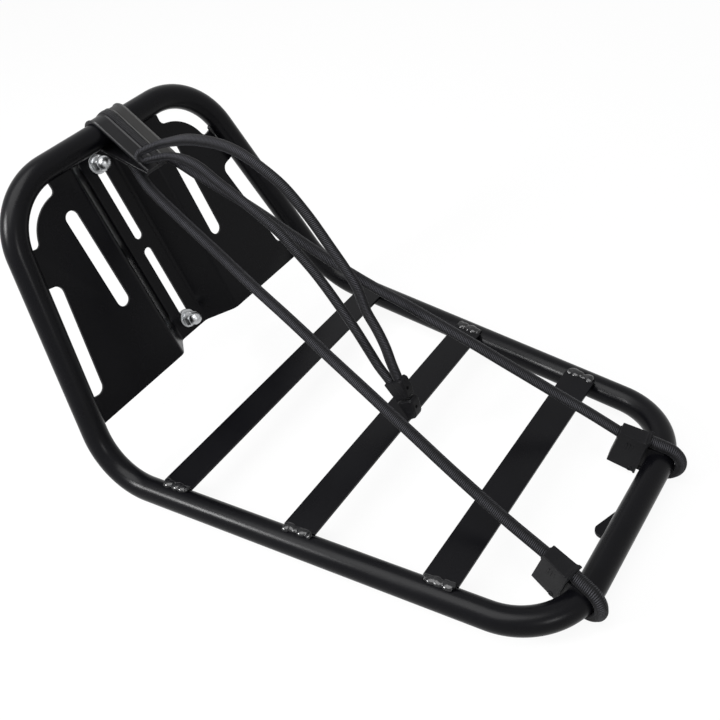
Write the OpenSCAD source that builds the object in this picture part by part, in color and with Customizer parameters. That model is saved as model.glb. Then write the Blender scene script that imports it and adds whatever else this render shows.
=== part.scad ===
// Motorcycle luggage rack: bent round tube frame, slatted deck and a pressed back plate
// Origin at the middle of the front slat's top face, +X to the right, +Y towards the raised back, +Z up

/* [Tube frame] */
// Outside diameter of the frame tube
tube_d = 22; // [18:0.5:26]
// Width of the end rail, between the corners of the tube's centre line
end_w = 234; // [200:1:270]
// Width at the fold, between centre lines
fold_w = 328; // [300:1:360]
// Length of the deck from the end rail to the fold, between centre lines
deck_len = 404; // [385:1:450]
// Angle of the raised back above the deck
back_angle = 70.5; // [62:0.5:78]
// Length of the raised back, from the fold to the top bar, between centre lines
back_len = 248; // [240:1:270]
// Width of the top bar, between the corners of the tube's centre line
top_w = 226; // [215:1:250]
// Swelling of the tube in its bends, on the radius
bend_swell = 0.15; // [0.1:0.01:0.4]
// Bend radius of the two end corners
end_r = 60; // [45:1:70]
// Bend radius of the two folds
fold_r = 58; // [45:1:65]
// Bend radius of the two top corners
top_r = 62; // [55:1:68]

/* [Slats] */
// Distance from the end rail's centre line to the middle of the front slat
slat_first = 92.5; // [85:0.5:100]
// Distance from the middle of the rear slat to the fold's centre line
slat_last = 70.5; // [64:0.5:100]
// Width of a slat
slat_w = 28; // [20:0.5:34]
// Thickness of a slat
slat_t = 3; // [2:0.5:5]
// How far a slat's end stops short of the rail's centre line
slat_inset = 6.2; // [5:0.1:7.5]

/* [End tab] */
// Width of the tab at the end rail
tab_w = 26; // [20:1:40]
// Reach of the tab from the end rail's centre line
tab_reach = 20; // [16:0.5:26]
// Thickness of the tab
tab_t = 3; // [2:0.5:4]
// Radius of the tab's rounded tip
tab_r = 6.5; // [4:0.5:9]

/* [Back plate] */
// Sheet thickness
sheet_t = 2.5; // [1.5:0.1:3]
// Depth of the panels' front face behind the tube's centre lines
sheet_set = 4; // [1:0.5:5.5]
// Height of the plate's bottom edge up the raised back
plate_from = 40.5; // [36:0.5:48]
// Width of the channel's mouth, between the front faces' sharp corners
mouth_w = 77; // [66:1:90]
// Width of the channel's floor, between the front faces' sharp corners
floor_w = 35; // [28:1:44]
// Depth of the channel, front face to front face
channel_depth = 26.7; // [22:0.1:30]
// Inside radius of the sheet's folds
sheet_r = 6; // [3:0.5:7]

/* [Back plate openings] */
// Width of the bolt slots in the channel
bolt_slot_w = 9.5; // [8.6:0.1:11]
// Distance from the top bar's centre line down to the upper bolt slot
upper_slot_drop = 20; // [19:0.5:33]
// Distance from the plate's bottom edge up to the lower bolt slot
lower_slot_rise = 9.5; // [9:0.5:20]
// Length of plate left between the two bolt slots
slot_web = 10.5; // [8:0.5:20]
// Share of the bolt slots' whole length that is in the upper slot
upper_slot_share = 0.49; // [0.4:0.01:0.6]
// Sideways place of the panel slots
panel_slot_x = 62.5; // [56:0.5:68]
// Width of the panel slots
panel_slot_w = 13.3; // [8:0.1:16]
// Distance from the top bar's centre line down to the panel slots
panel_slot_drop = 40; // [34:0.5:58]
// Length of the panel slots, as a share of the raised back's length
panel_slot_share = 0.385; // [0.3:0.005:0.45]
// Width of the side cut-outs, from the tube
side_cut_w = 15.3; // [10:0.1:18]
// Distance from the plate's bottom edge up to the side cut-outs
side_cut_rise = 27.5; // [20:0.5:48]
// Distance from the top bar's centre line down to the side cut-outs
side_cut_drop = 80.6; // [76:0.1:108]
// Corner radius of the side cut-outs
side_cut_r = 7.5; // [3:0.1:8]
// Width of the corner cut-outs, from the tube
corner_cut_w = 10.6; // [8:0.1:14]
// Angle at which a corner cut-out starts, above the crosswise direction
corner_cut_from = 14.5; // [12:0.5:24]
// Angle at which a corner cut-out ends
corner_cut_to = 88; // [76:0.5:89]
// Corner radius of the corner cut-outs
corner_cut_r = 5; // [2:0.1:5]

/* [Welds] */
// Radius of the weld beads along the back plate
bead_r = 2.8; // [2:0.1:3.5]
// Length left bare at the ends of a bead
bead_gap = 2; // [1:0.5:4]

/* [Fixing bolts] */
// Diameter of the bolts
bolt_d = 8; // [6:0.5:8.5]
// Width across flats of the bolt heads and nuts
hex_af = 13; // [12:0.5:15]
// Height of the bolt heads
head_h = 5.3; // [4:0.1:7]
// Chamfer at the flats of the bolt heads
head_cut = 0.6; // [0.2:0.1:1]
// Diameter of the flat washers
washer_d = 18; // [16:0.5:22]
// Thickness of the flat washers
washer_t = 1.6; // [1:0.1:2.5]
// Diameter of the spring washers
spring_d = 14; // [12.5:0.1:15]
// Thickness of the spring washers
spring_t = 2; // [1.5:0.1:3]
// Gap in the spring washers
spring_gap = 1.2; // [0.8:0.1:2]
// Turn of the spring washers' gaps from the sideways direction
spring_turn = 60; // [0:5:180]
// Bore clearance of the washers, on the diameter
washer_play = 0.5; // [0.2:0.1:1]
// Whole height of a dome nut
nut_h = 15; // [13:0.5:18]
// Height of a dome nut's hexagon
nut_hex_h = 7; // [5:0.5:9]
// Width of the rim left round the top of a dome nut's hexagon
nut_rim = 0.2; // [0.1:0.1:0.6]
// Diameter of a dome nut's collar and dome
dome_d = 12.2; // [11.2:0.1:12.8]

/* [Strap] */
// Thickness of the strap's bands
band_t = 2.5; // [1.5:0.1:2.8]
// Distance from the top bar's centre line to the end of the strap's bands
strap_reach = 58; // [50:1:66]
// Angle below level at which the strap leaves the bar
strap_drop = 24.5; // [15:0.5:35]
// Length over which a band's two layers are joined
strap_join = 10; // [6:1:16]
// Inside radius of a band's loop where its layers meet
band_pinch = 0.4; // [0.2:0.1:1]
// Left edge of the strap on the top bar
strap_from = -5; // [-12:0.5:0]
// Width of the left band
left_band_w = 15; // [10:0.5:20]
// Width of the woven band
woven_band_w = 7; // [5:0.5:10]
// Width of the right band
right_band_w = 13; // [10:0.5:20]
// Height of the ribs along the left band's edges
rib_h = 1; // [0.5:0.1:1.5]
// Width of the ribs along the left band's edges
rib_w = 2; // [1:0.1:3]

/* [Cords and clips] */
// Diameter of the elastic cords
cord_d = 9.2; // [7.5:0.1:9.6]
// Diameter of the centre cord where it is squeezed in its turn at the strap
turn_cord_d = 7.2; // [5:0.1:8]
// Bend radius of the centre cord's turn at the strap, on its centre line
turn_r = 4.2; // [4.1:0.1:6]
// Sideways place of the near cord's loop on the end rail
near_clip_x = -77; // [-90:0.5:-66]
// Sideways place of the far cord's loop on the end rail
far_clip_x = 71.5; // [66:0.5:90]
// Forward slope of the near clip
near_clip_pitch = 17; // [5:0.5:25]
// Forward slope of the far clip
far_clip_pitch = 14; // [5:0.5:25]
// Distance from the rail's centre line to a clip's flange
clip_stand = 13.5; // [12:0.5:20]
// Length of a clip along its top
clip_top_len = 24.5; // [20:0.5:32]
// Length of a clip along its bottom
clip_bottom_len = 24.5; // [18:0.5:30]
// Height of a clip's top face above its middle
clip_rise_h = 16.8; // [15.8:0.1:20]
// Depth of a clip's underside below its middle
clip_drop_h = 20; // [16:0.5:22]
// Width of a clip where the cord goes in
clip_w = 12.5; // [10:0.5:16]
// Width of a clip behind its flange
clip_flange_side_w = 15; // [10:0.5:18]
// Width of a clip's flange
flange_w = 16.5; // [12:0.5:20]
// Thickness of a clip's flange
flange_t = 2.5; // [2:0.5:4]
// How far a flange stands past the clip's body, above and below
flange_step = 1.6; // [0.5:0.1:2]
// Width of the saddle that fills the space between a flange and the rail
saddle_w = 11; // [8:0.5:14]
// Height of the cord's entry above a clip's middle
clip_entry = 11; // [8:0.5:12]
// Width of the centre clip and its hook, from side to side
centre_clip_w = 10; // [8:0.5:14]
// Length of the centre clip's block
centre_clip_len = 18.4; // [16:0.1:22]
// Height of the centre clip's block
centre_clip_h = 20; // [18.5:0.5:24]
// Chamfer of the centre clip's lower end
centre_clip_cut = 1.5; // [0.5:0.1:3]

/* [Hidden] */

$fn = 64;
eps = 0.01;
tube_r = tube_d / 2;
cord_r = cord_d / 2;
growth_rings = 3;
slats = [0, 1, 2];
bend_lap = 0.5;
trim_in = 3;
flange_corner = 3;

// Section of a slat's weld bead, from the lower edge of the slat's end and towards the tube's crown
slat_bead_section = [[0, -1], [0, 2.8], [-1.6, 3.1], [-3.4, 2.4], [-5, 1.7], [-3, -1.1]];

// The tube's shoulder carries the slats' ends, and the slats' top faces lie at height 0
seat_rise = sqrt(tube_r * tube_r - slat_inset * slat_inset);
tube_z = -slat_t - seat_rise;
end_y = -slat_first;
fold_y = end_y + deck_len;
slat_pitch = (deck_len - slat_first - slat_last) / 2;
splay = atan((fold_w - end_w) / 2 / deck_len);
lean = atan((fold_w - top_w) / 2 / back_len);

// Directions of the raised back: up along it, and out of its front
back_up = [0, cos(back_angle), sin(back_angle)];
back_out = [0, -sin(back_angle), cos(back_angle)];
fold_mid = [0, fold_y, tube_z];
bar_mid = fold_mid + back_len * back_up;

// Corners of the tube's centre line, in order round the loop, and the bend at each
corners = [
    [-end_w / 2, end_y, tube_z],
    [end_w / 2, end_y, tube_z],
    [fold_w / 2, fold_y, tube_z],
    [top_w / 2, bar_mid.y, bar_mid.z],
    [-top_w / 2, bar_mid.y, bar_mid.z],
    [-fold_w / 2, fold_y, tube_z]];
bends = [end_r, end_r, fold_r, top_r, top_r, fold_r];

function unit(v) = v / norm(v);
function way_in(i) = unit(corners[i] - corners[(i + 5) % 6]);
function way_out(i) = unit(corners[(i + 1) % 6] - corners[i]);
function turn(i) = acos(way_in(i) * way_out(i));
function tangent(i) = bends[i] * tan(turn(i) / 2);

// The slots' and the channel's measures in the plate's own plane
channel_back = sheet_set + channel_depth;
upper_slot_to = back_len - upper_slot_drop;
lower_slot_from = plate_from + lower_slot_rise;
bolt_slots_len = upper_slot_to - lower_slot_from - slot_web;
upper_slot_from = upper_slot_to - upper_slot_share * bolt_slots_len;
lower_slot_to = upper_slot_from - slot_web;
panel_slot_to = back_len - panel_slot_drop;
panel_slot_from = panel_slot_to - panel_slot_share * back_len;
side_cut_from = plate_from + side_cut_rise;
side_cut_to = back_len - side_cut_drop;
top_corner_mid = [top_w / 2 - tangent(3), back_len - top_r];
upper_bolt_at = upper_slot_to - bolt_slot_w / 2;
lower_bolt_at = lower_slot_from + bolt_slot_w / 2;
bolt_places = [lower_bolt_at, upper_bolt_at];
fastener_stack = washer_t + spring_t;

// The strap's own directions: along it away from the bar, and up out of it
strap_along = [0, -cos(strap_drop), -sin(strap_drop)];
strap_up = [0, -sin(strap_drop), cos(strap_drop)];
band_lean = acos(tube_r / strap_reach);
strap_under = cos(band_lean) * strap_along - sin(band_lean) * strap_up;
woven_from = strap_from + left_band_w;
right_from = woven_from + woven_band_w;
strap_end = bar_mid + strap_reach * strap_along;

// The centre cord's turn stands on the left band near its end, and opens forwards, to the right and up
turn_swing = 36;
turn_tilt = 14;
turn_from_strap = [-10.3, 4.1, 12.5];
turn_opens = [sin(turn_swing) * cos(turn_tilt), -cos(turn_swing) * cos(turn_tilt), sin(turn_tilt)];
turn_up = [-sin(turn_swing) * sin(turn_tilt), cos(turn_swing) * sin(turn_tilt), cos(turn_tilt)];
turn_mid = [woven_from, 0, 0] + strap_end + turn_from_strap;

// The centre clip leans down from its entry, and its hook stands on the middle slat
hook_foot = [slat_pitch - 13.5, 0];
hook_drop = [-4, -20];
centre_clip_x = woven_from;
clip_lean = 53.1;
entry_mid = [slat_pitch + 0.1, 38.2];
entry_half = 5.5;
clip_way = [0, -cos(clip_lean), -sin(clip_lean)];
clip_rise = [0, -sin(clip_lean), cos(clip_lean)];

// Where the cord loops and clips sit on the end rail or its corner bend
function rail_swing(x) = abs(x) > end_half ? asin(min(1, (abs(x) - end_half) / end_r)) : 0;
end_half = end_w / 2 - tangent(0);
function rail_point(x) = [x, end_y + end_r * (1 - cos(rail_swing(x))), tube_z];
function rail_out(x) = [sign(x) * sin(rail_swing(x)), -cos(rail_swing(x)), 0];
function clip_way_of(x, pitch) = cos(pitch) * rail_out(x) - [0, 0, sin(pitch)];
function clip_side_of(x) = [-rail_out(x).y, rail_out(x).x, 0];
function clip_up_of(x, pitch) = cross(clip_way_of(x, pitch), clip_side_of(x));
function clip_face(x, pitch) = rail_point(x) - clip_stand * clip_way_of(x, pitch);
function clip_entry_at(x, pitch) = clip_face(x, pitch)
    - clip_top_len * clip_way_of(x, pitch) + clip_entry * clip_up_of(x, pitch);
loop_r = tube_r + bend_swell + cord_r;

// The near cord leaves the underside of the left band, and the far cord leaves the right band's end
near_from = [1, 33];
near_start = [near_from.x, 0, 0] + bar_mid + near_from.y * strap_along
    - ((tube_r + band_t) / sin(band_lean) - near_from.y / tan(band_lean)) * strap_up;
far_start = [right_from + right_band_w / 2, 0, 0] + strap_end;
near_route = [
    near_start,
    [0.8, 362, 195], [-0.5, 357, 189], [-3, 349, 183], [-5.5, 335, 174.5],
    [-7.6, 315, 163], [-9.7, 292, 150], [-12.4, 268, 137.5], [-15.8, 246, 127],
    [-19.3, 224, 117.5], [-23.8, 198, 107.5], [-28.6, 171, 96.5], [-32.6, 151, 88.5],
    [-36.8, 130, 81], [-41.1, 108, 73], [-45.6, 84, 63.5], [-50.3, 58, 53],
    [-55.2, 31, 42], [-60, 2, 30.5], [-64.4, -24, 21],
    clip_entry_at(near_clip_x, near_clip_pitch)];
far_route = [
    far_start,
    [25, 333, 193], [27.5, 316, 183.5], [30.5, 297, 173.5], [33, 279, 164.5],
    [35.2, 260, 154.5], [37.8, 233, 139.5], [39.8, 214, 129], [41.4, 196.5, 120],
    [44.1, 169, 107], [46, 150, 99], [48, 132, 92], [50.5, 110, 82.5],
    [53.5, 82, 70], [55, 62, 62], [56.5, 42, 53.5], [58.5, 20, 44],
    [61.3, -8, 31.5], [63.5, -30, 22],
    clip_entry_at(far_clip_x, far_clip_pitch)];
upper_route = [
    turn_mid + turn_r * turn_up,
    [4.8, 338.5, 217.3], [9.3, 331, 219.6], [12, 318, 223], [12.6, 300, 227.8],
    [12.3, 279, 230.5], [12, 262, 231], [11.6, 246, 229], [11.3, 232.5, 224.5],
    [11, 218, 217.5], [10.8, 205, 209.5], [10.6, 185, 189], [10.4, 165, 161],
    [10.6, 154, 144], [10.9, 146.5, 130.5], [11.4, 140, 105], [11.2, 131, 87],
    [10.5, 125, 73], [10, 121, 58],
    entry_point(entry_half)];
lower_route = [
    turn_mid - turn_r * turn_up,
    [5, 336.5, 207.6], [9.3, 328.5, 208.6], [12, 315, 208.6], [12.6, 299, 205.8],
    [12.3, 274, 192.5], [12, 258, 184.5], [11.6, 245, 177.5], [11.2, 231, 169.5],
    [10.9, 217.5, 160.5], [10.7, 204, 147.5], [10.7, 191, 134], [11, 167, 100.5],
    [11.2, 154, 79.5], [10.8, 143.5, 61.5], [10.3, 135, 47.5],
    entry_point(-entry_half)];
function entry_point(rise) = [centre_clip_x, entry_mid.x, entry_mid.y] + rise * clip_rise;

// Puts children whose X, Y and Z run along three given directions at a point
module place(at, along_x, along_y, along_z) {
    multmatrix([
        [along_x.x, along_y.x, along_z.x, at.x],
        [along_x.y, along_y.y, along_z.y, at.y],
        [along_x.z, along_y.z, along_z.z, at.z],
        [0, 0, 0, 1]])
        children();
}

// The plane of the raised back: X across, Y up along it, Z out of its front
module on_back() {
    place(fold_mid, [1, 0, 0], back_up, back_out) children();
}

module both_sides() {
    children();
    mirror([1, 0, 0]) children();
}

// A round bar of radius r from one point to another
module rod(from, to, r) {
    way = unit(to - from);
    side = unit(cross(abs(way.x) > 0.9 ? [0, 0, 1] : [1, 0, 0], way));
    place(from, side, cross(way, side), way) cylinder(r = r, h = norm(to - from));
}

// The bend of the tube at corner i, as a part of a ring of tube radius r
module bend(i, r) {
    start = corners[i] - tangent(i) * way_in(i);
    middle = corners[i] + bends[i] / cos(turn(i) / 2) * unit(way_out(i) - way_in(i));
    out = unit(start - middle);
    place(middle, out, way_in(i), cross(out, way_in(i)))
        rotate_extrude(angle = turn(i)) translate([bends[i], 0]) circle(r = r);
}

// The whole closed loop of tube, used for the frame and to trim what is welded to it
// The straights run a little way into the bends, which swell by a hair as a bent tube does
module tube_loop(r = tube_r) {
    for (i = [0:5]) {
        bend(i, r + bend_swell);
        rod(corners[i] + (tangent(i) - bend_lap) * way_out(i),
            corners[(i + 1) % 6] - (tangent((i + 1) % 6) - bend_lap) * way_out(i), r);
    }
}

module frame_tube() {
    color("#1c1c1e") tube_loop(tube_r);
}

// A rectangle with round corners of radius r
module round_box(x0, x1, y0, y1, r) {
    translate([x0 + r, y0]) square([x1 - x0 - 2 * r, y1 - y0]);
    translate([x0, y0 + r]) square([x1 - x0, y1 - y0 - 2 * r]);
    for (x = [x0 + r, x1 - r], y = [y0 + r, y1 - r]) translate([x, y]) circle(r = r);
}

function arc(cx, cy, r, from, to) =
    [for (k = [0:6]) let (a = from + (to - from) * k / 6) [cx + r * cos(a), cy + r * sin(a)]];

// Half of the sheet's section, from the channel's middle outwards, on the front or the back of the sheet
wall_angle = atan(channel_depth / ((mouth_w - floor_w) / 2));
fold_front_x = floor_w / 2 - sheet_r * tan(wall_angle / 2);
fold_mouth_x = mouth_w / 2 + (sheet_r + sheet_t) * tan(wall_angle / 2);
function sheet_line(behind) = concat(
    arc(fold_front_x, sheet_r - channel_back, sheet_r + behind, -90, wall_angle - 90),
    arc(fold_mouth_x, -sheet_set - sheet_r - sheet_t, sheet_r + sheet_t - behind, 90 + wall_angle, 90));

module sheet_section() {
    edge = fold_w / 2;
    front = concat(sheet_line(0), [[edge, -sheet_set]]);
    back = concat(sheet_line(sheet_t), [[edge, -sheet_set - sheet_t]]);
    polygon(concat(
        front,
        [for (k = [len(back) - 1:-1:0]) back[k]],
        [for (p = back) [-p.x, p.y]],
        [for (k = [len(front) - 1:-1:0]) [-front[k].x, front[k].y]]));
}

// The plate's outline ends inside the tube, which then trims it
module plate_outline() {
    low = fold_w / 2 - plate_from * tan(lean) - trim_in;
    high = top_w / 2 - trim_in;
    top = back_len - trim_in;
    polygon([[-low, plate_from], [low, plate_from], [high, top], [-high, top]]);
}

module slot(x, w, from, to) {
    translate([x, from + w / 2]) circle(d = w);
    translate([x, to - w / 2]) circle(d = w);
    translate([x - w / 2, from + w / 2]) square([w, to - from - w]);
}

// Cut-out along the raised side, open towards the tube
module side_cut() {
    translate([fold_w / 2, 0]) rotate(lean)
        round_box(-tube_r - side_cut_w, side_cut_r,
            side_cut_from / cos(lean), side_cut_to / cos(lean), side_cut_r);
}

// Part of a disc between two angles
module wedge(r, from, to) {
    outer = r / cos((to - from) / 8);
    polygon([[0, 0], for (k = [0:4]) let (a = from + (to - from) * k / 4) outer * [cos(a), sin(a)]]);
}

// Cut-out round the top corner, open towards the tube, whose inner edge runs round with the bend
module corner_cut() {
    inner = top_r - tube_r - corner_cut_w;
    round_mid = inner + corner_cut_r;
    inset = asin(corner_cut_r / round_mid);
    reach = top_r + 3 * tube_r;
    translate(top_corner_mid) {
        difference() {
            wedge(reach, corner_cut_from + inset, corner_cut_to - inset);
            circle(r = inner);
        }
        difference() {
            wedge(reach, corner_cut_from, corner_cut_to);
            circle(r = round_mid * cos(inset));
        }
        for (a = [corner_cut_from + inset, corner_cut_to - inset])
            translate(round_mid * [cos(a), sin(a)]) circle(r = corner_cut_r);
    }
}

module plate_cuts() {
    slot(0, bolt_slot_w, upper_slot_from, upper_slot_to);
    slot(0, bolt_slot_w, lower_slot_from, lower_slot_to);
    both_sides() {
        slot(panel_slot_x, panel_slot_w, panel_slot_from, panel_slot_to);
        side_cut();
        corner_cut();
    }
}

module back_plate() {
    cut_depth = channel_back + 2 * sheet_t;
    color("#232325") difference() {
        on_back() difference() {
            intersection() {
                translate([0, back_len, 0]) rotate([90, 0, 0])
                    linear_extrude(back_len - plate_from) sheet_section();
                translate([0, 0, -cut_depth]) linear_extrude(cut_depth) plate_outline();
            }
            channel_top_trim();
            translate([0, 0, -cut_depth]) linear_extrude(cut_depth) plate_cuts();
        }
        tube_loop(tube_r);
    }
}

// The channel ends level with the underside of the top bar
module channel_top_trim() {
    translate([-mouth_w / 2, back_len - tube_r, -channel_back - 2 * sheet_t])
        cube([mouth_w, 2 * tube_r, channel_back + 2 * sheet_t]);
}

// A slat's outline, with its ends cut along the splayed rails
module slat(i) {
    y0 = slat_pitch * i - slat_w / 2;
    y1 = y0 + slat_w;
    x0 = rail_x(y0) - slat_inset / cos(splay);
    x1 = rail_x(y1) - slat_inset / cos(splay);
    color("#1e1e20") translate([0, 0, -slat_t]) linear_extrude(slat_t)
        polygon([[-x0, y0], [x0, y0], [x1, y1], [-x1, y1]]);
}
function rail_x(y) = end_w / 2 + (y - end_y) * tan(splay);

// One bead fills the corner between a slat's end and the crown of the tube
module slat_bead(i) {
    bead_len = slat_w / cos(splay) - bead_gap;
    place([rail_x(slat_pitch * i), slat_pitch * i, tube_z],
        [-cos(splay), sin(splay), 0], [0, 0, 1], [sin(splay), cos(splay), 0])
        translate([0, 0, -bead_len / 2]) linear_extrude(bead_len)
            polygon([for (p = slat_bead_section) [slat_inset, seat_rise] + p]);
}

module slat_welds() {
    color("#2a2a2c") difference() {
        both_sides() for (i = slats) slat_bead(i);
        both_sides()
            rod(corners[1] + tangent(1) * way_out(1), corners[2] - tangent(2) * way_out(1), tube_r);
    }
}

// A bead along the tube's inner side, in the plane of the plate's front face, between two heights
bead_edge = sqrt(tube_r * tube_r - sheet_set * sheet_set);
function bead_point(v) =
    [fold_w / 2 - v * tan(lean) - bead_edge * cos(lean), v - bead_edge * sin(lean), -sheet_set];

module plate_bead(from, to) {
    rod(bead_point(from + bead_gap), bead_point(to - bead_gap), bead_r);
}

module plate_welds() {
    color("#2a2a2c") difference() {
        on_back() difference() {
            both_sides() {
                plate_bead(tangent(2) + bead_gap, side_cut_from);
                plate_bead(side_cut_to + bead_gap, back_len - tangent(3));
            }
            translate([-fold_w / 2, 0, -sheet_set - sheet_t - bead_r])
                cube([fold_w, back_len, sheet_t + bead_r]);
        }
        tube_loop(tube_r);
    }
}

// Small plate welded under the end rail, which narrows to a round tip under the deck
module end_tab() {
    color("#1e1e20") difference() {
        translate([0, end_y, tube_z - tube_r]) linear_extrude(tab_t)
            rotate(90) teardrop(tab_w / 2, tab_r, tab_reach - tab_r);
        translate([-tab_w, end_y - tab_w, tube_z - tube_r - tab_t]) cube([2 * tab_w, tab_w, 3 * tab_t]);
        rod(corners[0] + tangent(0) * way_out(0), corners[1] - tangent(1) * way_out(0), tube_r);
    }
}

// The channel floor's two faces carry the fasteners, with the nut to the front and the head behind
module on_floor(v) {
    on_back() translate([0, v, -channel_back]) children();
}

module hexagon(h) {
    rotate(30) cylinder(d = hex_af / cos(30), h = h, $fn = 6);
}

module bolt(v) {
    head_at = -sheet_t - washer_t;
    color("#b8bcc0") on_floor(v) {
        translate([0, 0, head_at - head_h]) intersection() {
            hexagon(head_h);
            cylinder(r1 = hex_af / 2 - head_cut, r2 = hex_af / 2 - head_cut + 2 * head_h, h = head_h);
        }
        translate([0, 0, head_at - head_h / 2])
            cylinder(d = bolt_d, h = fastener_stack + nut_hex_h - head_at + head_h / 2);
    }
}

module upper_bolt() {
    bolt(upper_bolt_at);
}

module lower_bolt() {
    bolt(lower_bolt_at);
}

module washer() {
    difference() {
        cylinder(d = washer_d, h = washer_t);
        translate([0, 0, -eps]) cylinder(d = bolt_d + washer_play, h = washer_t + 2 * eps);
    }
}

module rear_washers() {
    color("#b8bcc0") for (v = bolt_places) on_floor(v) translate([0, 0, -sheet_t - washer_t]) washer();
}

module front_washers() {
    color("#b8bcc0") for (v = bolt_places) on_floor(v) washer();
}

// A split ring of square section
module spring_washers() {
    color("#a8acb0") for (v = bolt_places) on_floor(v) translate([0, 0, washer_t]) difference() {
        cylinder(d = spring_d, h = spring_t);
        translate([0, 0, -eps]) cylinder(d = bolt_d + washer_play, h = spring_t + 2 * eps);
        rotate(-spring_turn) translate([0, -spring_gap / 2, -eps])
            cube([spring_d, spring_gap, spring_t + 2 * eps]);
    }
}

// Hexagon with a chamfered foot, a short collar and a round dome, bored for the bolt
module dome_nuts() {
    dome_r = dome_d / 2;
    collar_h = nut_h - nut_hex_h - dome_r;
    color("#c4c8cc") for (v = bolt_places) on_floor(v) translate([0, 0, fastener_stack]) difference() {
        union() {
            intersection() {
                hexagon(nut_hex_h);
                cylinder(r1 = hex_af / 2 + nut_hex_h, r2 = hex_af / 2 + nut_rim, h = nut_hex_h);
            }
            translate([0, 0, nut_hex_h - eps]) cylinder(r = dome_r, h = collar_h + eps);
            translate([0, 0, nut_hex_h + collar_h]) intersection() {
                sphere(r = dome_r);
                translate([-dome_r, -dome_r, 0]) cube([dome_d, dome_d, dome_r]);
            }
        }
        translate([0, 0, -eps]) cylinder(d = bolt_d, h = nut_hex_h + eps);
    }
}

// Two circles joined by their outer tangents, the larger on the bar
module teardrop(big, small, reach) {
    a = acos((big - small) / reach);
    circle(r = big);
    translate([reach, 0]) circle(r = small);
    polygon([big * [cos(a), sin(a)], big * [cos(a), -sin(a)],
        [reach + small * cos(a), -small * sin(a)], [reach + small * cos(a), small * sin(a)]]);
}

// A strap band's outer form: the loop over the bar, with its two layers joined and cut square at the end
module strap_form(extra) {
    difference() {
        teardrop(tube_r + band_t + extra, band_t + extra, strap_reach);
        translate([strap_reach, -tube_d]) square([tube_d, 2 * tube_d]);
    }
}

// Extrudes a band's section from its left edge to its right edge on the top bar
module on_strap(from, w) {
    place(bar_mid + [from + w, 0, 0], strap_along, strap_up, [-1, 0, 0]) linear_extrude(w) children();
}

module band(from, w) {
    on_strap(from, w) difference() {
        strap_form(0);
        teardrop(tube_r, band_pinch, strap_reach - strap_join);
    }
}

// The left band has a raised rib along each edge
module strap_band_left() {
    color("#151517") {
        band(strap_from, left_band_w);
        for (x = [strap_from, strap_from + left_band_w - rib_w]) on_strap(x, rib_w) difference() {
            strap_form(rib_h);
            strap_form(0);
            translate([0, -2 * tube_d]) square([2 * strap_reach, 2 * tube_d]);
            translate([-2 * tube_d, -2 * tube_d]) square([2 * tube_d, 2 * tube_d]);
        }
    }
}

module strap_band_woven() {
    color("#303033") band(woven_from, woven_band_w);
}

module strap_band_right() {
    color("#18181a") band(right_from, right_band_w);
}

// A round tube swept along a route, whose first and last rings stand square to the given ways
// It grows from its first radius to the cord's own over its first rings
module cord(route, way_first, way_last, r_first = cord_r) {
    sides = 10;
    last = len(route) - 1;
    function way_at(i) = i == 0 ? way_first : i == last ? way_last : unit(route[i + 1] - route[i - 1]);
    function r_at(i) = min(cord_r, r_first + i / growth_rings * (cord_r - r_first));
    points = [for (i = [0:last])
        let (way = way_at(i), up = unit(cross(way, [1, 0, 0])), side = cross(up, way))
        for (k = [0:sides - 1]) let (a = 360 * k / sides)
        route[i] + r_at(i) * (cos(a) * side + sin(a) * up)];
    walls = [for (i = [0:last - 1], k = [0:sides - 1]) let (n = (k + 1) % sides)
        each [[i * sides + k, (i + 1) * sides + k, (i + 1) * sides + n],
            [i * sides + k, (i + 1) * sides + n, i * sides + n]]];
    first_cap = [for (k = [0:sides - 1]) k];
    last_cap = [for (k = [sides - 1:-1:0]) last * sides + k];
    color("#202022") polyhedron(points, concat([first_cap], walls, [last_cap]), convexity = 8);
}

module near_cord() {
    cord(near_route, strap_under, clip_way_of(near_clip_x, near_clip_pitch));
}

module far_cord() {
    cord(far_route, strap_along, clip_way_of(far_clip_x, far_clip_pitch));
}

module centre_cord_upper() {
    cord(upper_route, turn_opens, clip_way, turn_cord_d / 2);
}

module centre_cord_lower() {
    cord(lower_route, turn_opens, clip_way, turn_cord_d / 2);
}

// The tight turn of the centre cord, standing on the left band
module centre_cord_turn() {
    color("#202022") difference() {
        place(turn_mid, turn_up, -turn_opens, cross(turn_up, -turn_opens))
            rotate_extrude(angle = 180) translate([turn_r, 0]) circle(d = turn_cord_d);
        on_strap(strap_from, left_band_w + woven_band_w) strap_form(0);
        strap_band_left();
    }
}

// A moulded clip: a tapered body, a flange, and a saddle that fits round the rail
module clip(x, pitch) {
    color("#2b2b2e") difference() {
        place(clip_face(x, pitch), clip_way_of(x, pitch), clip_side_of(x), clip_up_of(x, pitch)) {
            intersection() {
                rotate([90, 0, 0]) translate([0, 0, -flange_w]) linear_extrude(2 * flange_w)
                    polygon([[-clip_top_len, clip_rise_h], [-flange_t, clip_rise_h],
                        [-flange_t, -clip_drop_h], [-clip_bottom_len, -clip_drop_h],
                        [-clip_top_len, clip_entry - 2 * cord_r]]);
                translate([0, 0, -2 * flange_w]) linear_extrude(4 * flange_w)
                    polygon([[-clip_top_len, -clip_w / 2], [-flange_t, -clip_flange_side_w / 2],
                        [-flange_t, clip_flange_side_w / 2], [-clip_top_len, clip_w / 2]]);
            }
            rotate([0, 90, 0]) translate([0, 0, -flange_t]) linear_extrude(flange_t)
                round_box(-clip_rise_h - flange_step, clip_drop_h + flange_step,
                    -flange_w / 2, flange_w / 2, flange_corner);
            translate([-flange_t / 2, -saddle_w / 2, cord_r - loop_r])
                cube([clip_stand, saddle_w, 2 * (loop_r - cord_r)]);
        }
        tube_loop();
    }
}

module near_clip() {
    clip(near_clip_x, near_clip_pitch);
}

module far_clip() {
    clip(far_clip_x, far_clip_pitch);
}

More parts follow.
